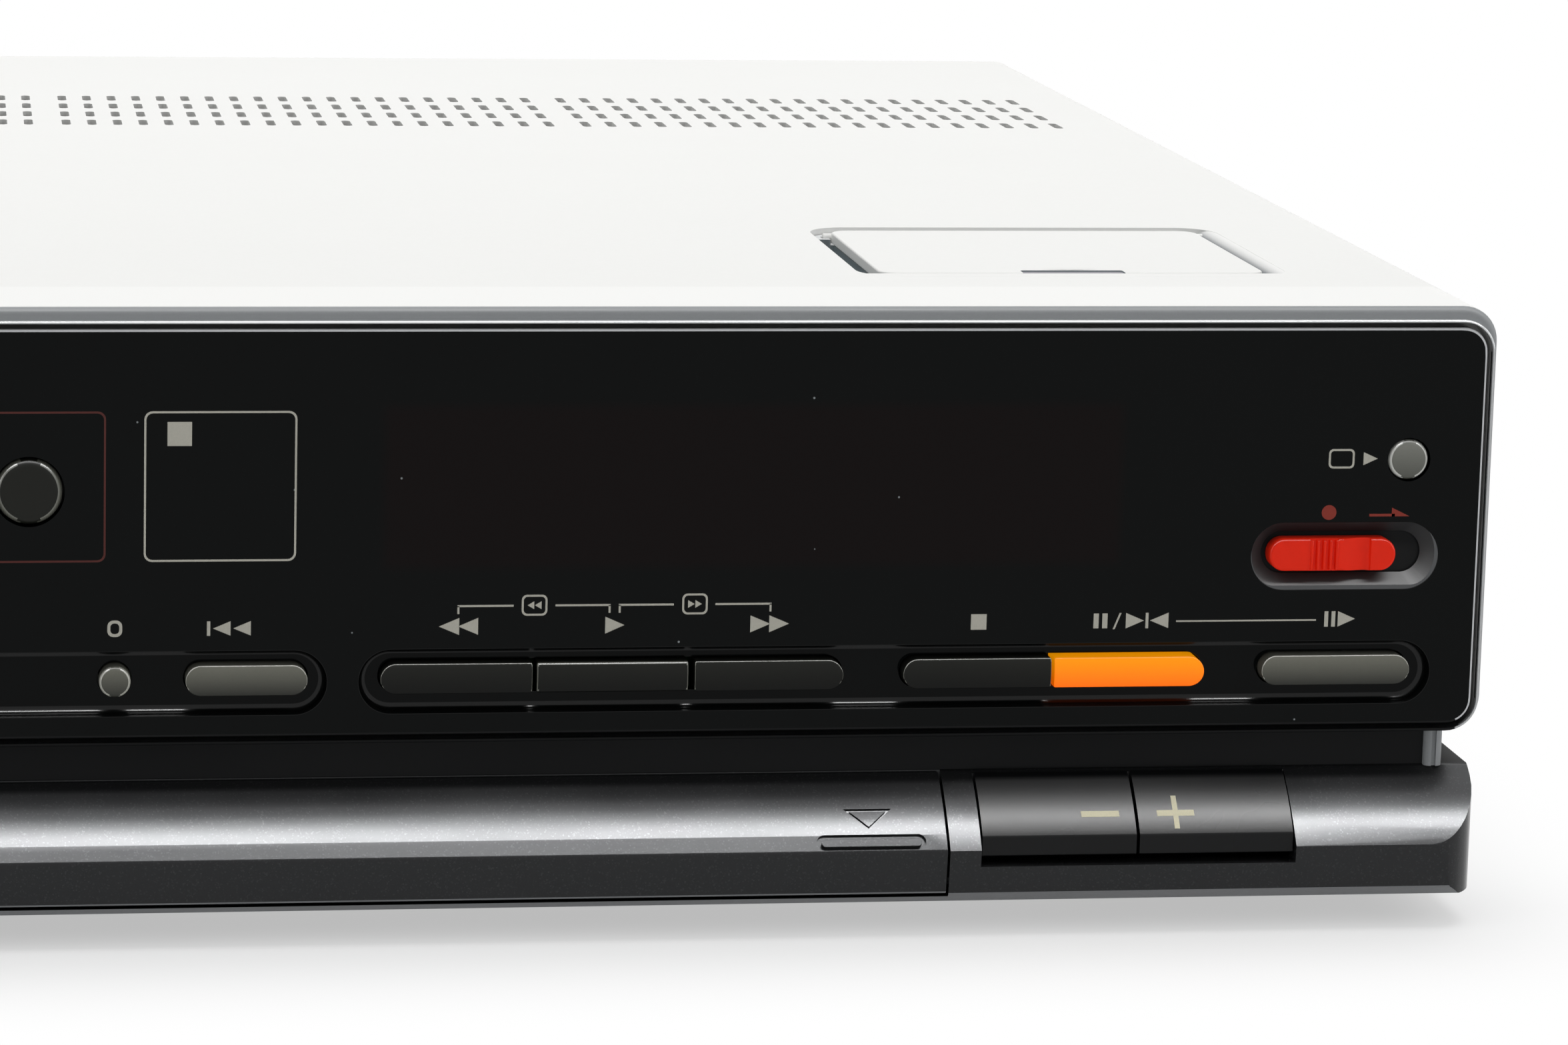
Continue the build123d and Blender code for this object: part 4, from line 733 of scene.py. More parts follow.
# Marks printed on the window: base, point and height of the arrows, sides and half height of the bars
mark_level, bracket_level, screen_level = 47.86, 50.8, 51.0
mark_arrows = ((57.15, 54.1, 2.6), (59.99, 57.0, 2.6), (101.08, 104.1, 2.6), (103.95, 106.97, 2.6),
               (79.1, 82.0, 2.6), (158.7, 161.5, 2.4), (165.3, 162.45, 2.4), (191.7, 194.4, 2.4),
               (23.1, 20.5, 2.2), (26.1, 23.5, 2.2))
mark_bars = ((134.8, 137.2, 1.2), (153.7, 154.5, 1.15), (155.05, 155.85, 1.15), (161.75, 162.2, 1.2),
             (189.6, 190.2, 1.2), (190.7, 191.3, 1.2), (19.6, 20.1, 1.1))
slash = ((156.7, 46.56), (157.0, 46.56), (158.0, 49.06), (157.7, 49.06))
# Ends of the lines over the marks, each with its tick, and base and point of the arrows in the screens
brackets = ((56.84, 65.27, 56.84), (71.55, 79.87, 79.57), (81.09, 89.41, 81.09), (95.7, 104.23, 103.93))
screen_arrows = ((68.36, 67.36), (69.46, 68.46), (91.56, 92.56), (92.66, 93.66))
# Left, right, bottom, top and corner radius of the printed boxes
mark_boxes = ((66.48, 70.34, 49.4, 52.6, 0.8), (90.68, 94.54, 49.4, 52.6, 0.8), (10.2, 32.7, 58.0, 80.6, 1.2),
              (189.2, 193.2, 71.2, 74.2, 0.7))
timer_box = (-17.9, 4.6, 58.0, 80.6, 1.2)
zero_box, zero_line, zero_hole = (4.9, 7.1, 46.7, 49.2, 0.9), 0.45, 0.55
# The long line, the square in its box, the arrow to the input button, and the dot and arrow over the slider
long_line, square, input_arrow = (166.5, 188.3, 47.6), (13.6, 17.2, 75.4, 79.0), (194.6, 196.8, 72.7, 2.0)
dot_x, dot_z, dot_radius = 189.6, 64.4, 1.15
record_shaft, record_head = (195.9, 199.9, 63.75, 64.15), ((199.4, 63.75), (199.4, 65.1), (202.2, 63.75))


def arrow_points(x0, x1, middle, high):
    """Corners of a triangle that points from x0 to x1."""
    return [(x0, middle - high / 2), (x0, middle + high / 2), (x1, middle)]


def bar_points(x0, x1, z0, z1):
    """Corners of an upright bar or a line."""
    return [(x0, z0), (x0, z1), (x1, z1), (x1, z0)]


def on_window(points):
    """A printed shape on the window, traced through its corners in X and Z."""
    height = size("print_height")
    return trace("mark", [(x, front - height, z) for x, z in points], (0, height, 0))


def outline_box(x0, x1, z0, z1, radius, line, inner=None):
    """A printed box: a rounded plate with its middle taken out."""
    inner = inner or radius - line * 0.7
    box = add_rounded("box", (x0, front - size("print_height"), z0), (x1, front, z1), "Y", radius)
    hole_low, hole_high = (x0 + line, front - 1, z0 + line), (x1 - line, front + 1, z1 - line)
    return cut(box, add_rounded("hole", hole_low, hole_high, "Y", inner))


class RECORDER_OT_marks(bpy.types.Operator):
    """Print the transport marks, boxes and lines on the window"""
    bl_idname = "recorder.marks"
    bl_label = "Printed marks"

    def execute(self, context):
        line, height = size("line_width"), size("print_height")
        shapes = [arrow_points(x0, x1, mark_level, high) for x0, x1, high in mark_arrows]
        shapes += [bar_points(x0, x1, mark_level - reach, mark_level + reach) for x0, x1, reach in mark_bars]
        shapes += [slash, bar_points(*long_line, long_line[-1] + line * 0.8)]
        for x0, x1, tick in brackets:
            shapes += [bar_points(x0, x1, bracket_level, bracket_level + line),
                       bar_points(tick, tick + line, 49.75, bracket_level + line / 2)]
        shapes += [arrow_points(x0, x1, screen_level, 1.2) for x0, x1 in screen_arrows]
        shapes += [bar_points(*square), arrow_points(*input_arrow)]
        marks = [on_window(points) for points in shapes]
        marks += [outline_box(*box, line) for box in mark_boxes]
        marks.append(outline_box(*zero_box, zero_line, zero_hole))
        dot = add_rod("dot", (dot_x, front - height / 2, dot_z), dot_radius, height, sides=24)
        sheets = {
            "marks": marks,
            "timer_marks": [outline_box(*timer_box, line)],
            "record_marks": [on_window(bar_points(*record_shaft)), on_window(record_head), dot],
        }
        for ink, pieces in sheets.items():
            sheet = join(*pieces)
            sheet.name = "printed_" + ink
            complete(sheet, "case", "window_black", ink)
        return {"FINISHED"}


# Buttons of the rows, each with its left and right end round or square
row_buttons = {
    "power_button": (True, True), "eject_button": (True, True), "tape_return_button": (True, True),
    "rewind_button": (True, False), "play_button": (False, False), "fast_forward_button": (False, True),
    "stop_button": (True, False), "pause_button": (False, True), "frame_advance_button": (True, True),
}
# Round buttons and their finishes
round_buttons = {
    "counter_reset_button": "button_grey", "timer_button": "button_black", "input_button": "input_grey",
}


def row_button(name, ends):
    """The cap of a button of a row, with the lip and stem behind it that hold it in the window."""
    low, high = box_of(name)
    x, z = (low.x + high.x) / 2, (low.z + high.z) / 2
    crown = size("button_crown")
    cap = add_block(name + "_cap", (low.x, front, z - cap_reach), (high.x, front + cap_depth, z + cap_reach))
    for side, is_round in zip((low.x, high.x), ends):
        radius, segments = (cap_reach - 0.01, 10) if is_round else (0.25, 2)
        bevel(cap, lambda item: runs(item, "Y") and abs(mid(item).x - side) < 0.01, radius, segments)
    cut(cap, add_rod("crown", (x, front + crown, z), crown, 80, "X", 64), "INTERSECT")
    bevel(cap, lambda item: mid(item).y < front + 0.5
          and (not runs(item, "X") or abs(abs(mid(item).z - z) - cap_reach) < 0.02), size("button_edge"))
    lip = add_block("lip", (low.x + cap_reach, front + cap_depth, low.z),
                    (high.x - cap_reach, front + lip_back, high.z))
    behind = front + cap_depth
    stem = add_rod("stem", (x, (behind + high.y) / 2, z), stem_radius, high.y - behind, sides=24)
    look = slot_of[name]
    complete(join(cap, lip, stem), name + "_body", look, nodes=[name])
    if look != "button_orange":
        # The cap's top and side edges get a much lighter colour: painted highlight
        face_finish(cap, look + "_edge", lambda place, normal: place.y < front + 1.2 and normal.y > -0.95
                    and normal.z > -0.3)


def round_button(name, look):
    """A round button: its hollowed cap, with the flange and stem behind it."""
    low, high = box_of(name)
    x, z = (low.x + high.x) / 2, (low.z + high.z) / 2
    flange = (high.x - low.x) / 2
    radius = flange - 1.2
    ring, hollow = radius * 0.28, 0.04
    cap = add_rod(name + "_cap", (x, front + cap_depth / 2, z), radius, cap_depth)
    pick(cap, "FACE", faces_front)
    for depth in (0, -hollow):
        bpy.ops.mesh.inset(thickness=ring * MM, depth=depth * MM)
    leave_edit()
    bevel(cap, lambda item: abs(mid(item).y - front) < 0.001
          and math.hypot(mid(item).x - x, mid(item).z - z) > radius * 0.95, radius * 0.24, 4)
    lip = add_rod("lip", (x, front + lip_back - 0.5, z), flange, 1.0, sides=32)
    behind = front + lip_back
    stem = add_rod("stem", (x, (behind + high.y) / 2, z), stem_radius, high.y - behind, sides=24)
    complete(join(cap, lip, stem), name + "_body", slot_of[name], look, [name])
    # The cap's side edges get a much lighter colour: painted highlight
    face_finish(cap, look + "_edge",
                lambda place, normal: place.y < front + 1.2 and normal.y > -0.9 and abs(normal.x) > 0.2)


class RECORDER_OT_buttons(bpy.types.Operator):
    """Model the caps of the row of buttons and the round buttons"""
    bl_idname = "recorder.buttons"
    bl_label = "Buttons"

    def execute(self, context):
        for name, ends in row_buttons.items():
            row_button(name, ends)
        for name, look in round_buttons.items():
            round_button(name, look)
        return {"FINISHED"}


class RECORDER_OT_record_slider(bpy.types.Operator):
    """Model the red record slider with its grip ribs and finger dip"""
    bl_idname = "recorder.record_slider"
    bl_label = "Record slider"

    def execute(self, context):
        pitch, rib_width = size("rib_pitch"), 0.46
        low, high = box_of("record_slider")
        face, long = low.y, high.x - low.x
        z0, z1 = 55.5, 60.5
        slider = add_rounded("red_slider", (low.x, face + 0.25, z0), (high.x, front + 1.7, z1), "Y", 2.4, 10)
        bevel(slider, lambda item: mid(item).y < face + 0.26, 0.5, 4)
        # The finger dip: share of the slider's length and depth
        dip = [(0.56, -0.5), (0.56, 0.25), (0.60, 0.45), (0.65, 0.75), (0.70, 0.98), (0.74, 1.1),
               (0.77, 1.05), (0.79, 0.85), (0.8, 0.5), (0.8, -0.5)]
        cut(slider, trace("dip", [(low.x + long * share, face + deep, z0 - 1) for share, deep in dip],
                          (0, 0, z1 - z0 + 2)))
        # The grip ribs stand in a band sunk into the face
        first, last = low.x + long * 0.32, 4
        band_end = first + last * pitch + rib_width
        cut(slider, add_block("band", (first, face - 1, z0 - 1), (band_end, face + 0.62, z1 + 1)))
        ribs = []
        for count in range(last + 1):
            x = first + count * pitch
            ribs.append(add_block("rib", (x, face, z0 + 0.2), (x + rib_width, face + 0.8, z1 - 0.2)))
            bevel(ribs[-1], lambda item: mid(item).y < face + 0.001, 0.2)
        x0, x1 = low.x + 6.6, low.x + 12.6
        stem = add_block("stem", (x0, front + 1, 56.5), (x1, high.y, 59.5))
        foot = add_block("foot", (x0, high.y - 1.0, low.z), (x1, high.y, high.z))
        complete(join(slider, stem, foot, *ribs), "record_slider_body", "slider_red", nodes=["record_slider"])
        way_low, way_high = Vector((179.8, front, 54.9)), Vector((204.4, front + 1.7, 61.1))
        dish = add_pill("slider_dish", dish_low, dish_high, 16)
        way = add_pill("way", way_low, way_high, 16)
        pick(way, "FACE", faces_front)
        wide = [(dish_high[i] - dish_low[i] - 0.5) / (way_high[i] - way_low[i]) for i in (0, 2)]
        bpy.ops.transform.resize(value=(wide[0], 1, wide[1]))
        leave_edit()
        complete(cut(dish, way), "case", "window_black", "dish_black")
        # The floor of the slider's way: near-black painted shade in the cavity
        face_finish(bpy.data.objects["smoked_window"], "painted_shade_black",
                    lambda place, normal: in_dish(place, -1.1) and place.y > front + 1.5)
        # The dish's front faces get a lighter grey outline: painted highlight
        face_finish(dish, "dim_painted_highlight", lambda place, normal: normal.y < -0.98)
        return {"FINISHED"}


def along_lip(edge):
    """True on the sharp front lip of the sill and its door."""
    return runs(edge, "X") and abs(mid(edge).y - lip_front) < 0.05 and abs(mid(edge).z - lip_height) < 0.05


def along_foot(edge):
    """True on the lower front edge of the sill and its door."""
    return runs(edge, "X") and mid(edge).y < front - 2 and mid(edge).z < foot_height


def lower_front_bevel(place, normal):
    """True on the narrow rounded face along the lower front edge, which takes a painted highlight."""
    return place.z < foot_height - 0.1 and place.y < front - 2 and normal.z < -0.2 and normal.y < -0.2


def charcoal_copy(node, name):
    """A copy of the sill or its door, with its front edges rounded."""
    obj = copy_of_node(node, name)
    bevel(obj, along_lip, size("lip_round"))
    bevel(obj, along_foot, 0.35, 2)
    return soften(obj, 0.15)


class RECORDER_OT_sill(bpy.types.Operator):
    """Give the sill its rounded lip and the neck a near-black painted shade"""
    bl_idname = "recorder.sill"
    bl_label = "Sill"

    def execute(self, context):
        sill = charcoal_copy("front_sill", "charcoal_sill")
        complete(sill, "case", "sill_charcoal", nodes=["front_sill"], lean=100)
        post_front, neck_face, neck_foot = front + 5, front + 9, 23.6
        # The neck recess behind the lip, and the inner faces: near-black painted shade
        face_finish(sill, "painted_shade_black", lambda place, normal: place.z > neck_foot
                    or place.y > neck_face and abs(place.x) < half - 8)
        # The lower front bevel gets a lighter grey: painted highlight
        face_finish(sill, "lower_edge_painted_highlight", lower_front_bevel)
        for name, x in (("neck_post_left", -209.4), ("neck_post_right", 209.4)):
            post = add_rounded(name, (x - 1.5, post_front, 23.3), (x + 1.5, neck_face, 30.2), "Z", 1.2, 6)
            cut(post, add_block("slot", (x - 0.35, post_front - 1, 23), (x + 0.35, post_front + 0.4, 31)))
            # The posts take the darker silver: painted shade in the neck
            complete(post, "case", "frame_paint", "rim_silver_painted_shade")
        return {"FINISHED"}


def surface_at(obj, x, z):
    """Where a line from the front meets a piece, and the way its surface looks there, in millimetres."""
    hit, place, normal, _ = obj.ray_cast(Vector((x, front - 50, z)) * MM, Vector((0, 1, 0)))
    if not hit:
        raise RuntimeError("nothing to set on " + obj.name)
    return place / MM, normal


def lay_on(obj, piece, x, z):
    """Turns a small shape that faces forward at the origin to lie on a piece."""
    place, normal = surface_at(piece, x, z)
    only(obj)
    obj.rotation_euler = (-math.atan2(normal.z, -normal.y), 0, 0)
    obj.location = place * MM
    return settle(obj.name)


class RECORDER_OT_front_door(bpy.types.Operator):
    """Model the drop-down door with its pressed triangle and grip"""
    bl_idname = "recorder.front_door"
    bl_label = "Front door"

    def execute(self, context):
        depth = size("grip_depth")
        door = charcoal_copy("front_door", "charcoal_door")
        plain = copy_of_node("front_door", "plain_door")
        arrow = trace("arrow", [(-3.7, -1, 1.7), (3.7, -1, 1.7), (0, -1, -1.7)], (0, 1 + depth, 0))
        cut(arrow, trace("inside", [(-2.8, -2, 1.25), (2.8, -2, 1.25), (0, -2, -1.3)], (0, 4, 0)))
        cut(door, lay_on(arrow, plain, 119.8, 17.6))
        cut(door, lay_on(add_pill("slot", (-8.4, -1.0, -1.25), (8.4, depth, 1.25)), plain, 120.0, 14.6))
        bar = add_pill("bar", (-7.7, -0.3, -0.6), (7.7, depth + 0.3, 0.6))
        bevel(bar, lambda item: mid(item).y < -0.29, 0.35)
        join(door, lay_on(bar, plain, 120.0, 14.45))
        bpy.data.objects.remove(plain)
        complete(door, "front_door_body", "sill_charcoal", nodes=["front_door"], lean=100)
        # The lower front bevel gets a lighter grey: painted highlight
        face_finish(door, "lower_edge_painted_highlight", lower_front_bevel)
        return {"FINISHED"}


# Left, right, top and bottom of the bars of the plus and minus marks
key_bars = {
    "program_minus_key": [(152.7, 158.6, 18.3, 17.55)],
    "program_plus_key": [(164.5, 170.3, 18.3, 17.55), (167.0, 167.8, 20.1, 15.9)],
}


def key_mark(name, key, bars):
    """Printed bars that follow a key's sloping top in a few steps."""
    height, steps = 0.03, 5
    pieces = []
    for x0, x1, z1, z0 in bars:
        levels = [z1 + (z0 - z1) * step / steps for step in range(steps + 1)]
        for above, below in zip(levels, levels[1:]):
            corners = []
            for x, z in ((x0, above), (x1, above), (x1, below), (x0, below)):
                place, normal = surface_at(key, x, z)
                corners.append(place + normal * height)
            pieces.append(trace("bar", corners, normal * -2 * height))
    mark = join(*pieces)
    mark.name = name
    return mark


class RECORDER_OT_program_keys(bpy.types.Operator):
    """Model the two programme keys with their plus and minus marks"""
    bl_idname = "recorder.program_keys"
    bl_label = "Programme keys"

    def execute(self, context):
        for name, bars in key_bars.items():
            key = copy_of_node(name, name + "_cap")
            face = box_of(name)[0].y
            bevel(key, lambda edge: runs(edge, "X") and abs(mid(edge).y - face) < 0.05, 0.25)
            soften(key, 0.12)
            mark = key_mark(name + "_mark", key, bars)
            complete(key, name + "_body", "button_black", "key_paint", [name])
            complete(mark, name + "_body", "button_black", "key_marks")
        return {"FINISHED"}


class RECORDER_OT_cassette_door(bpy.types.Operator):
    """Model the flap over the cassette slot"""
    bl_idname = "recorder.cassette_door"
    bl_label = "Cassette door"

    def execute(self, context):
        flap = soften(copy_of_node("cassette_door", "cassette_flap"), 0.3, 3)
        complete(flap, "cassette_door_body", "window_black", nodes=["cassette_door"])
        return {"FINISHED"}


class RECORDER_OT_cover(bpy.types.Operator):
    """Give the cover its even shading and its enamel"""
    bl_idname = "recorder.cover"
    bl_label = "Cover"

    def execute(self, context):
        cover = copy_of_node("top_cover", "enamelled_cover", flatten=False)
        complete(cover, "case", "cover_paint", nodes=["top_cover"])
        return {"FINISHED"}


class RECORDER_OT_preset_lid(bpy.types.Operator):
    """Model the lid in the top, its notch and lip, and the moulded tray round it"""
    bl_idname = "recorder.preset_lid"
    bl_label = "Preset lid"

    def execute(self, context):
        low, high = box_of("preset_tray")
        lid_low, lid_high = box_of("preset_lid")
        left, right, near = lid_low.x + lid_pin, lid_high.x - lid_pin, lid_low.y
        tray = copy_of_node("preset_tray", "moulded_tray")
        cut(tray, add_rounded("moat", (low.x + 0.4, near, 92.6), (left + 0.2, high.y - 7.0, 97), "Z", 1.2))
        soften(tray, 0.25)
        # The ramp beside the lid: distance from the lid and depth under the top
        reach = high.x - right
        slope = [(0.3, 1.4), (0.3, 1.15), (0.9, 0.62), (1.7, 0.28), (2.6, 0.1), (reach + 0.25, 0.03),
                 (reach + 0.25, 0.4), (reach - 0.1, 1.4)]
        ramp = trace("ramp", [(right + across, near - 0.2, top - down) for across, down in slope],
                     (0, high.y - 2.6 - near, 0))
        upper = top - 0.03
        ledge = add_block("ledge", (low.x + 0.2, low.y + 0.15, high.z - 0.2),
                          (high.x - 0.1, near - 0.22, upper))
        bevel(ledge, lambda item: mid(item).z > upper - 0.01 and runs(item, "X"), 0.12, 2)
        complete(tray, "case", "tray_grey", nodes=["preset_tray"])
        # The moat beside the lid: blue-grey painted shade
        face_finish(tray, "moat_painted_shade",
                    lambda place, normal: place.x < left + 0.3 and low.y + 2 < place.y < high.y - 6.5)
        # The ramp's grey deepens towards the lid: painted shade in the recess
        complete(ramp, "case", "tray_grey", "ramp_white")
        complete(ledge, "case", "tray_grey", "cover_paint")
        lid = copy_of_node("preset_lid", "moulded_lid")
        bevel(lid, lambda item: mid(item).z > top - 0.01, size("lid_edge"))
        middle, wide, back = (left + right) / 2, 8.2, near + 2.6
        cut(lid, add_rounded("notch", (middle - wide, near - 1, top - 0.22), (middle + wide, back, top + 1),
                             "Z", 0.5, 4))
        # The raised lip behind the notch: what is left of a thin disc in front of a straight cut
        radius, thick, cut_at = 13.0, 0.7, back + 1
        lip = add_rod("lip", (middle, cut_at + 12.1, top - thick / 2), radius, thick, "Z", 120)
        cut(lip, add_block("rest", (middle - 20, cut_at, top - 2), (middle + 20, cut_at + 36.4, top + 2)))
        bevel(lip, lambda item: mid(item).z > top - 0.01, 0.25, 2)
        complete(join(lid, lip), "preset_lid_body", "cover_paint", nodes=["preset_lid"])

        def in_notch(place, start):
            """True on the walls and the floor of the notch."""
            return (near + start < place.y < back + 0.1 and abs(place.x - middle) < wide + 0.1
                    and top - 0.25 < place.z < top - 0.02)
        # The notch's walls: blue-grey painted shade
        face_finish(lid, "moat_painted_shade", lambda place, normal: in_notch(place, 0.3))
        # The notch's floor: mauve-grey painted shade, lighter than its walls
        face_finish(lid, "notch_painted_shade", lambda place, normal: in_notch(place, 0) and normal.z > 0.9)
        return {"FINISHED"}


class RECORDER_OT_feet(bpy.types.Operator):
    """Model the rubber feet with their hollow soles"""
    bl_idname = "recorder.feet"
    bl_label = "Feet"

    def execute(self, context):
        low, high = box_of("feet")
        radius = 11.0
        first = Vector((low.x + radius, low.y + radius, high.z / 2))
        foot = add_rod("foot", first, radius, high.z, "Z", 56)
        bevel(foot, lambda item: mid(item).z < 0.01, 1.2, 4)
        cut(foot, add_rod("hollow", (first.x, first.y, 0.6), radius - 3.4, 2.0, "Z", 40))
        across, back = high.x - low.x - 2 * radius, high.y - low.y - 2 * radius
        others = [copy_to(foot, "foot", move) for move in ((across, 0, 0), (0, back, 0), (across, back, 0))]
        feet = join(foot, *others)
        feet.name = "rubber_feet"
        complete(feet, "case", "foot_rubber", nodes=["feet"])
        return {"FINISHED"}


class RECORDER_OT_cover_screws(bpy.types.Operator):
    """Model the cross-head screws at the rear"""
    bl_idname = "recorder.cover_screws"
    bl_label = "Cover screws"

    def execute(self, context):
        low, high = box_of("cover_screws")
        radius, thick, pitch = 3.5, 2.2, 95.0
        x, z = low.x + radius, (low.z + high.z) / 2
        under = high.y - thick
        head = add_rod("screw", (x, high.y - thick / 2, z), radius, thick, sides=32)
        bevel(head, lambda item: mid(item).y > high.y - 0.01, 0.9, 4)
        for wide, tall in ((2.0, 0.4), (0.4, 2.0)):
            cut(head, add_block("slot", (x - wide, high.y - 0.9, z - tall), (x + wide, high.y + 1, z + tall)))
        shank = add_rod("shank", (x, (low.y + under) / 2, z), stem_radius, under - low.y, sides=20)
        screw = join(head, shank)
        others = [copy_to(screw, "screw", (count * pitch, 0, 0)) for count in range(1, 5)]
        screws = join(screw, *others)
        screws.name = "rear_screws"
        complete(screws, "case", "screw_black", nodes=["cover_screws"])
        return {"FINISHED"}


class RECORDER_OT_rear_marks(bpy.types.Operator):
    """Model the coloured rings of the phono sockets and the symbols printed beside them"""
    bl_idname = "recorder.rear_marks"
    bl_label = "Rear marks"

    def execute(self, context):
        height, line, thick = size("print_height"), size("line_width") * 1.5, 0.6
        low, high = box_of("phono_sockets")
        first, last = low.x + socket_flange, high.x - socket_flange
        z = (low.z + high.z) / 2
        looks = ("socket_yellow", "socket_white", "socket_yellow", "socket_red")
        shapes = []
        for count, look in enumerate(looks):
            x = first + (last - first) * count / (len(looks) - 1)
            ring = add_rod("socket_ring_%d" % (count + 1), (x, rear + thick / 2, z), socket_flange, thick)
            bevel(ring, lambda item: mid(item).y > rear + thick - 0.01, 0.2, 2)
            cut(ring, add_rod("hole", (x, rear, z), socket_bore, 6))
            complete(ring, "case", "inlet_black", look)
            points = [(-1.4, 0), (1.4, 0), (0, 2.2 if count < 2 else -2.2)]
            shapes.append(trace("arrow", [(x + across, rear, z + 11.5 + up) for across, up in points],
                                (0, height, 0)))
        ends, face = (first - 8, last + 8), rear + height
        for level in (z + 15.5, z - 9.5 - line):
            shapes.append(add_block("line", (ends[0], rear, level), (ends[1], face, level + line)))
        low, high = box_of("mains_inlet")
        frames = []
        for out, start, end, radius in ((3, rear, face, 1.5), (3 - line, rear - 1, rear + 1, 1.2)):
            frames.append(add_rounded("frame", (low.x - out, start, low.z - out),
                                      (high.x + out, end, high.z + out), "Y", radius))
        print_of = join(*shapes, cut(*frames))
        print_of.name = "rear_print"
        complete(print_of, "case", "rear_paint", "marks")
        return {"FINISHED"}


def seen_share(tree):
    """One where the camera, a reflection or clear glass looks, and nought where light only bounces."""
    path = add(tree, "LightPath")
    seen = compute(tree, "MAXIMUM", (path, "Is Camera Ray"), (path, "Is Glossy Ray"))
    return compute(tree, "MAXIMUM", seen, (path, "Is Transmission Ray"))


def stage_world(name):
    """A world that is white where it is seen and dimmer as a light."""
    world = bpy.data.worlds.new(name)
    tree = new_tree(world)
    plain = add(tree, "Background", {"Color": (1, 1, 1, 1), "Strength": 0.35})
    white = add(tree, "Background", {"Color": (1, 1, 1, 1), "Strength": 1.0})
    mixed = add(tree, "MixShader", links={0: seen_share(tree), 1: (plain, 0), 2: (white, 0)})
    add(tree, "OutputWorld", links={"Surface": (mixed, 0)})
    return world


def stage_paper(name):
    """White backdrop paper: pure white to the camera, and still holding the object's shadow near it."""
    material = bpy.data.materials.new(name)
    tree = new_tree(material)
    place = add(tree, "TexCoord")
    side = add(tree, "VectorMath", links={0: (place, "Object")}, operation="ABSOLUTE")
    side = add(tree, "VectorMath", {1: (0.2, 0.165, 0.0)}, {0: (side, "Vector")}, operation="SUBTRACT")
    side = add(tree, "VectorMath", {1: (0.0, 0.0, 0.0)}, {0: (side, "Vector")}, operation="MAXIMUM")
    away = add(tree, "VectorMath", links={0: (side, "Vector")}, operation="LENGTH")
    near = add(tree, "MapRange", {"From Min": 0.0, "From Max": 0.055, "To Min": 0.48},
               {"Value": (away, "Value")}, interpolation_type="SMOOTHSTEP")
    share = compute(tree, "MULTIPLY", seen_share(tree), (near, "Result"))
    paper = add(tree, "BsdfPrincipled", {"Base Color": (0.9, 0.9, 0.9, 1), "Roughness": 0.9,
                                                  "Specular IOR Level": 0.1})
    white = add(tree, "Emission", {"Color": (1, 1, 1, 1), "Strength": 1.0})
    mixed = add(tree, "MixShader", links={0: share, 1: (paper, 0), 2: (white, 0)})
    add(tree, "OutputMaterial", links={"Surface": (mixed, 0)})
    return material


def lamp(name, place, aim, wide, deep, power):
    """A rectangular softbox aimed at a point, sizes in metres."""
    bpy.ops.object.light_add(type="AREA", location=place)
    obj = bpy.context.object
    obj.name = name
    obj.data.shape = "RECTANGLE"
    obj.data.size, obj.data.size_y, obj.data.energy = wide, deep, power
    obj.rotation_euler = (Vector(aim) - Vector(place)).to_track_quat("-Z", "Y").to_euler()
    return obj


def place_camera(scene):
    """The camera where the photograph was taken, with its slight lens shift."""
    bpy.ops.object.camera_add()
    camera = bpy.context.object
    camera.name = "Camera"
    yaw, pitch, roll = [math.radians(value) for value in (7.02, -9.16, 1.07)]
    ahead = Vector((math.sin(yaw) * math.cos(pitch), math.cos(yaw) * math.cos(pitch), math.sin(pitch)))
    level = Vector((math.cos(yaw), -math.sin(yaw), 0.0))
    above = level.cross(ahead)
    right = level * math.cos(roll) + above * math.sin(roll)
    up = above * math.cos(roll) - level * math.sin(roll)
    turn = Matrix((right, up, -ahead)).transposed().to_4x4()
    camera.matrix_world = Matrix.Translation(Vector((-16.8, -876.3, 208.5)) * MM) @ turn
    camera.data.sensor_width = 36.0
    camera.data.lens = 111.4
    camera.data.shift_x = 0.15
    camera.data.shift_y = -0.13
    scene.camera = camera


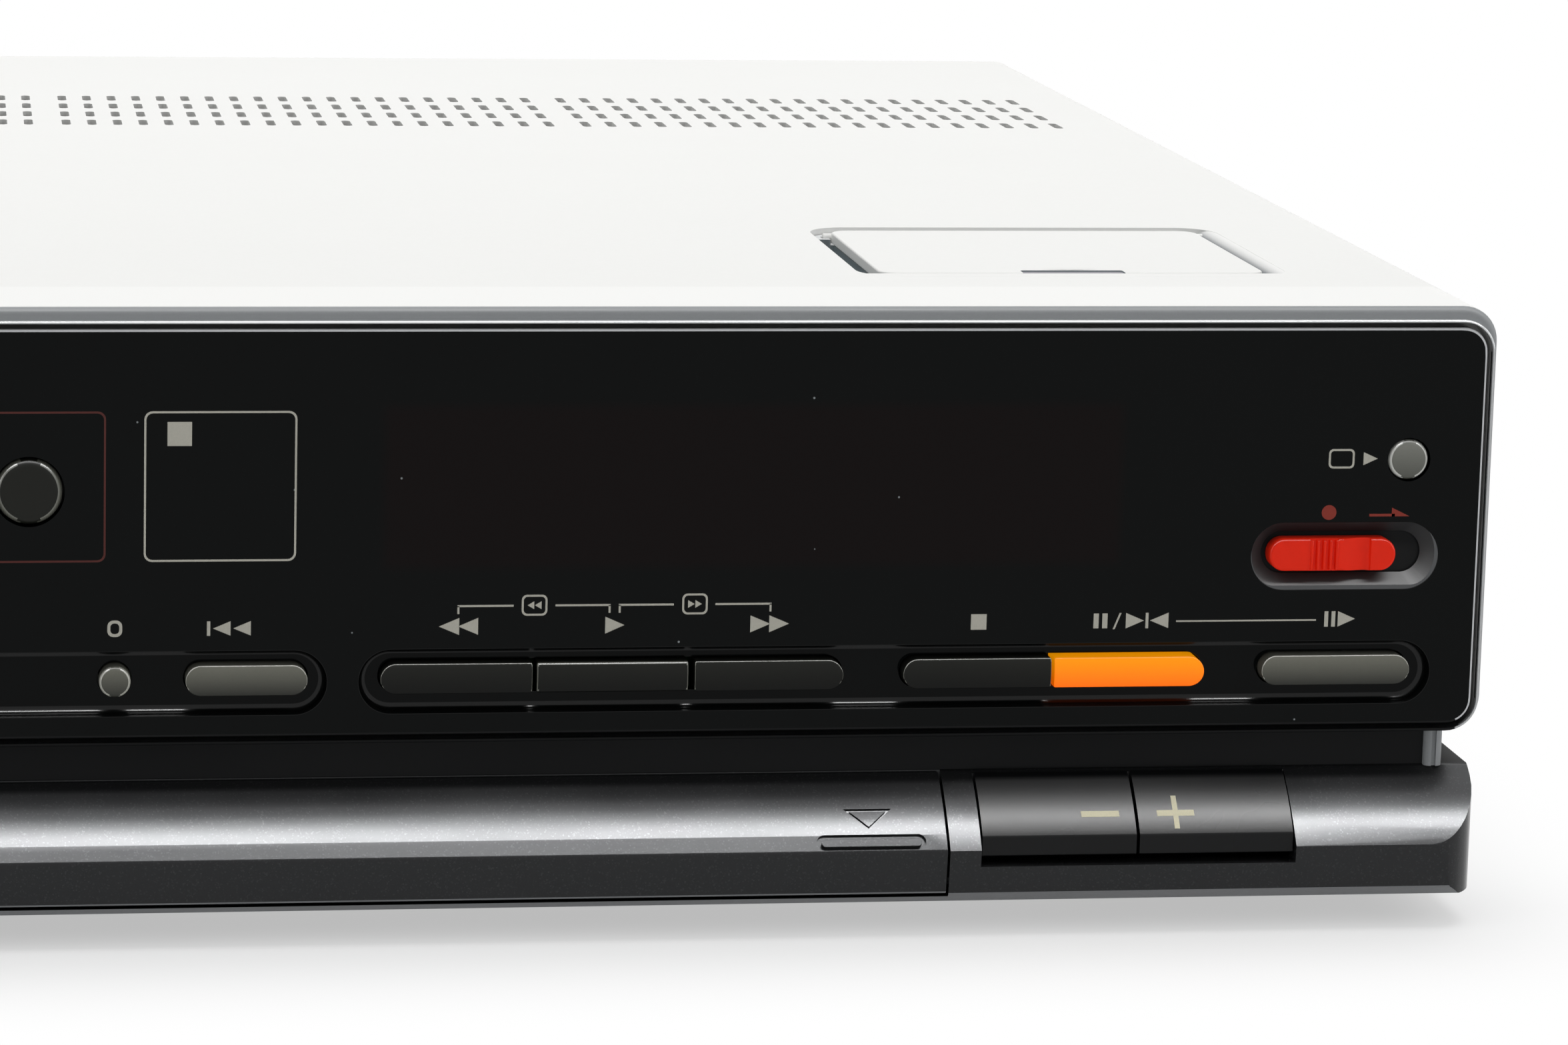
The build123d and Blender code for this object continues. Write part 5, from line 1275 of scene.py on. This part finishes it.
class RECORDER_OT_studio(bpy.types.Operator):
    """Set up the floor, the backdrop, the lamps and the camera"""
    bl_idname = "recorder.studio"
    bl_label = "Studio"

    def execute(self, context):
        only()
        bpy.ops.mesh.primitive_plane_add(size=8.0, location=(0, 0, -0.0002))
        floor = settle("floor")
        floor.data.materials.append(stage_paper("Floor paper"))
        context.scene.world = stage_world("Studio")
        lamp("Top softbox", (0.0, 0.15, 1.25), (0.0, 0.05, 0.05), 1.6, 1.1, 14.4)
        # Strips that light only what shines
        for values in (("Sill strip", (0.1, -0.63, 0.95), (0.1, -0.17, 0.02), 2.4, 0.11, 62.0),
                       ("Left strip", (-1.3, -0.75, 0.35), (0.0, -0.17, 0.05), 0.25, 0.8, 6.0),
                       ("Right strip", (1.4, -0.35, 0.35), (0.1, -0.17, 0.05), 0.25, 0.8, 6.0)):
            lamp(*values).visible_diffuse = False
        lamp("Right fill", (1.1, -0.7, 0.6), (0.1, 0.0, 0.05), 0.7, 0.7, 2.0)
        place_camera(context.scene)
        context.scene.view_settings.view_transform = "Standard"
        return {"FINISHED"}


operators = [RECORDER_OT_finishes, RECORDER_OT_front_rim, RECORDER_OT_window, RECORDER_OT_marks,
             RECORDER_OT_buttons, RECORDER_OT_record_slider, RECORDER_OT_sill, RECORDER_OT_front_door,
             RECORDER_OT_program_keys, RECORDER_OT_cassette_door, RECORDER_OT_cover, RECORDER_OT_preset_lid,
             RECORDER_OT_feet, RECORDER_OT_cover_screws, RECORDER_OT_rear_marks, RECORDER_OT_studio]


class RECORDER_PT_panel(bpy.types.Panel):
    """Lists the recorder's pieces, sizes and colours"""
    bl_idname = "RECORDER_PT_panel"
    bl_label = "Recorder"
    bl_space_type = "VIEW_3D"
    bl_region_type = "UI"
    bl_category = "Recorder"

    def draw(self, context):
        for operator in operators:
            self.layout.operator(operator.bl_idname)
        for group in (context.scene.recorder_sizes, context.scene.recorder_colours):
            box = self.layout.box()
            for name in group.__annotations__:
                box.prop(group, name)


def register():
    for group in (RecorderSizes, RecorderColours, *operators, RECORDER_PT_panel):
        bpy.utils.register_class(group)
    bpy.types.Scene.recorder_sizes = bpy.props.PointerProperty(type=RecorderSizes)
    bpy.types.Scene.recorder_colours = bpy.props.PointerProperty(type=RecorderColours)


def unregister():
    del bpy.types.Scene.recorder_colours
    del bpy.types.Scene.recorder_sizes
    for group in reversed((RecorderSizes, RecorderColours, *operators, RECORDER_PT_panel)):
        bpy.utils.unregister_class(group)


def main():
    """Makes the whole recorder, piece by piece."""
    register()
    for operator in operators:
        family, name = operator.bl_idname.split(".")
        getattr(getattr(bpy.ops, family), name)()
    only()


if __name__ == "__main__":
    main()
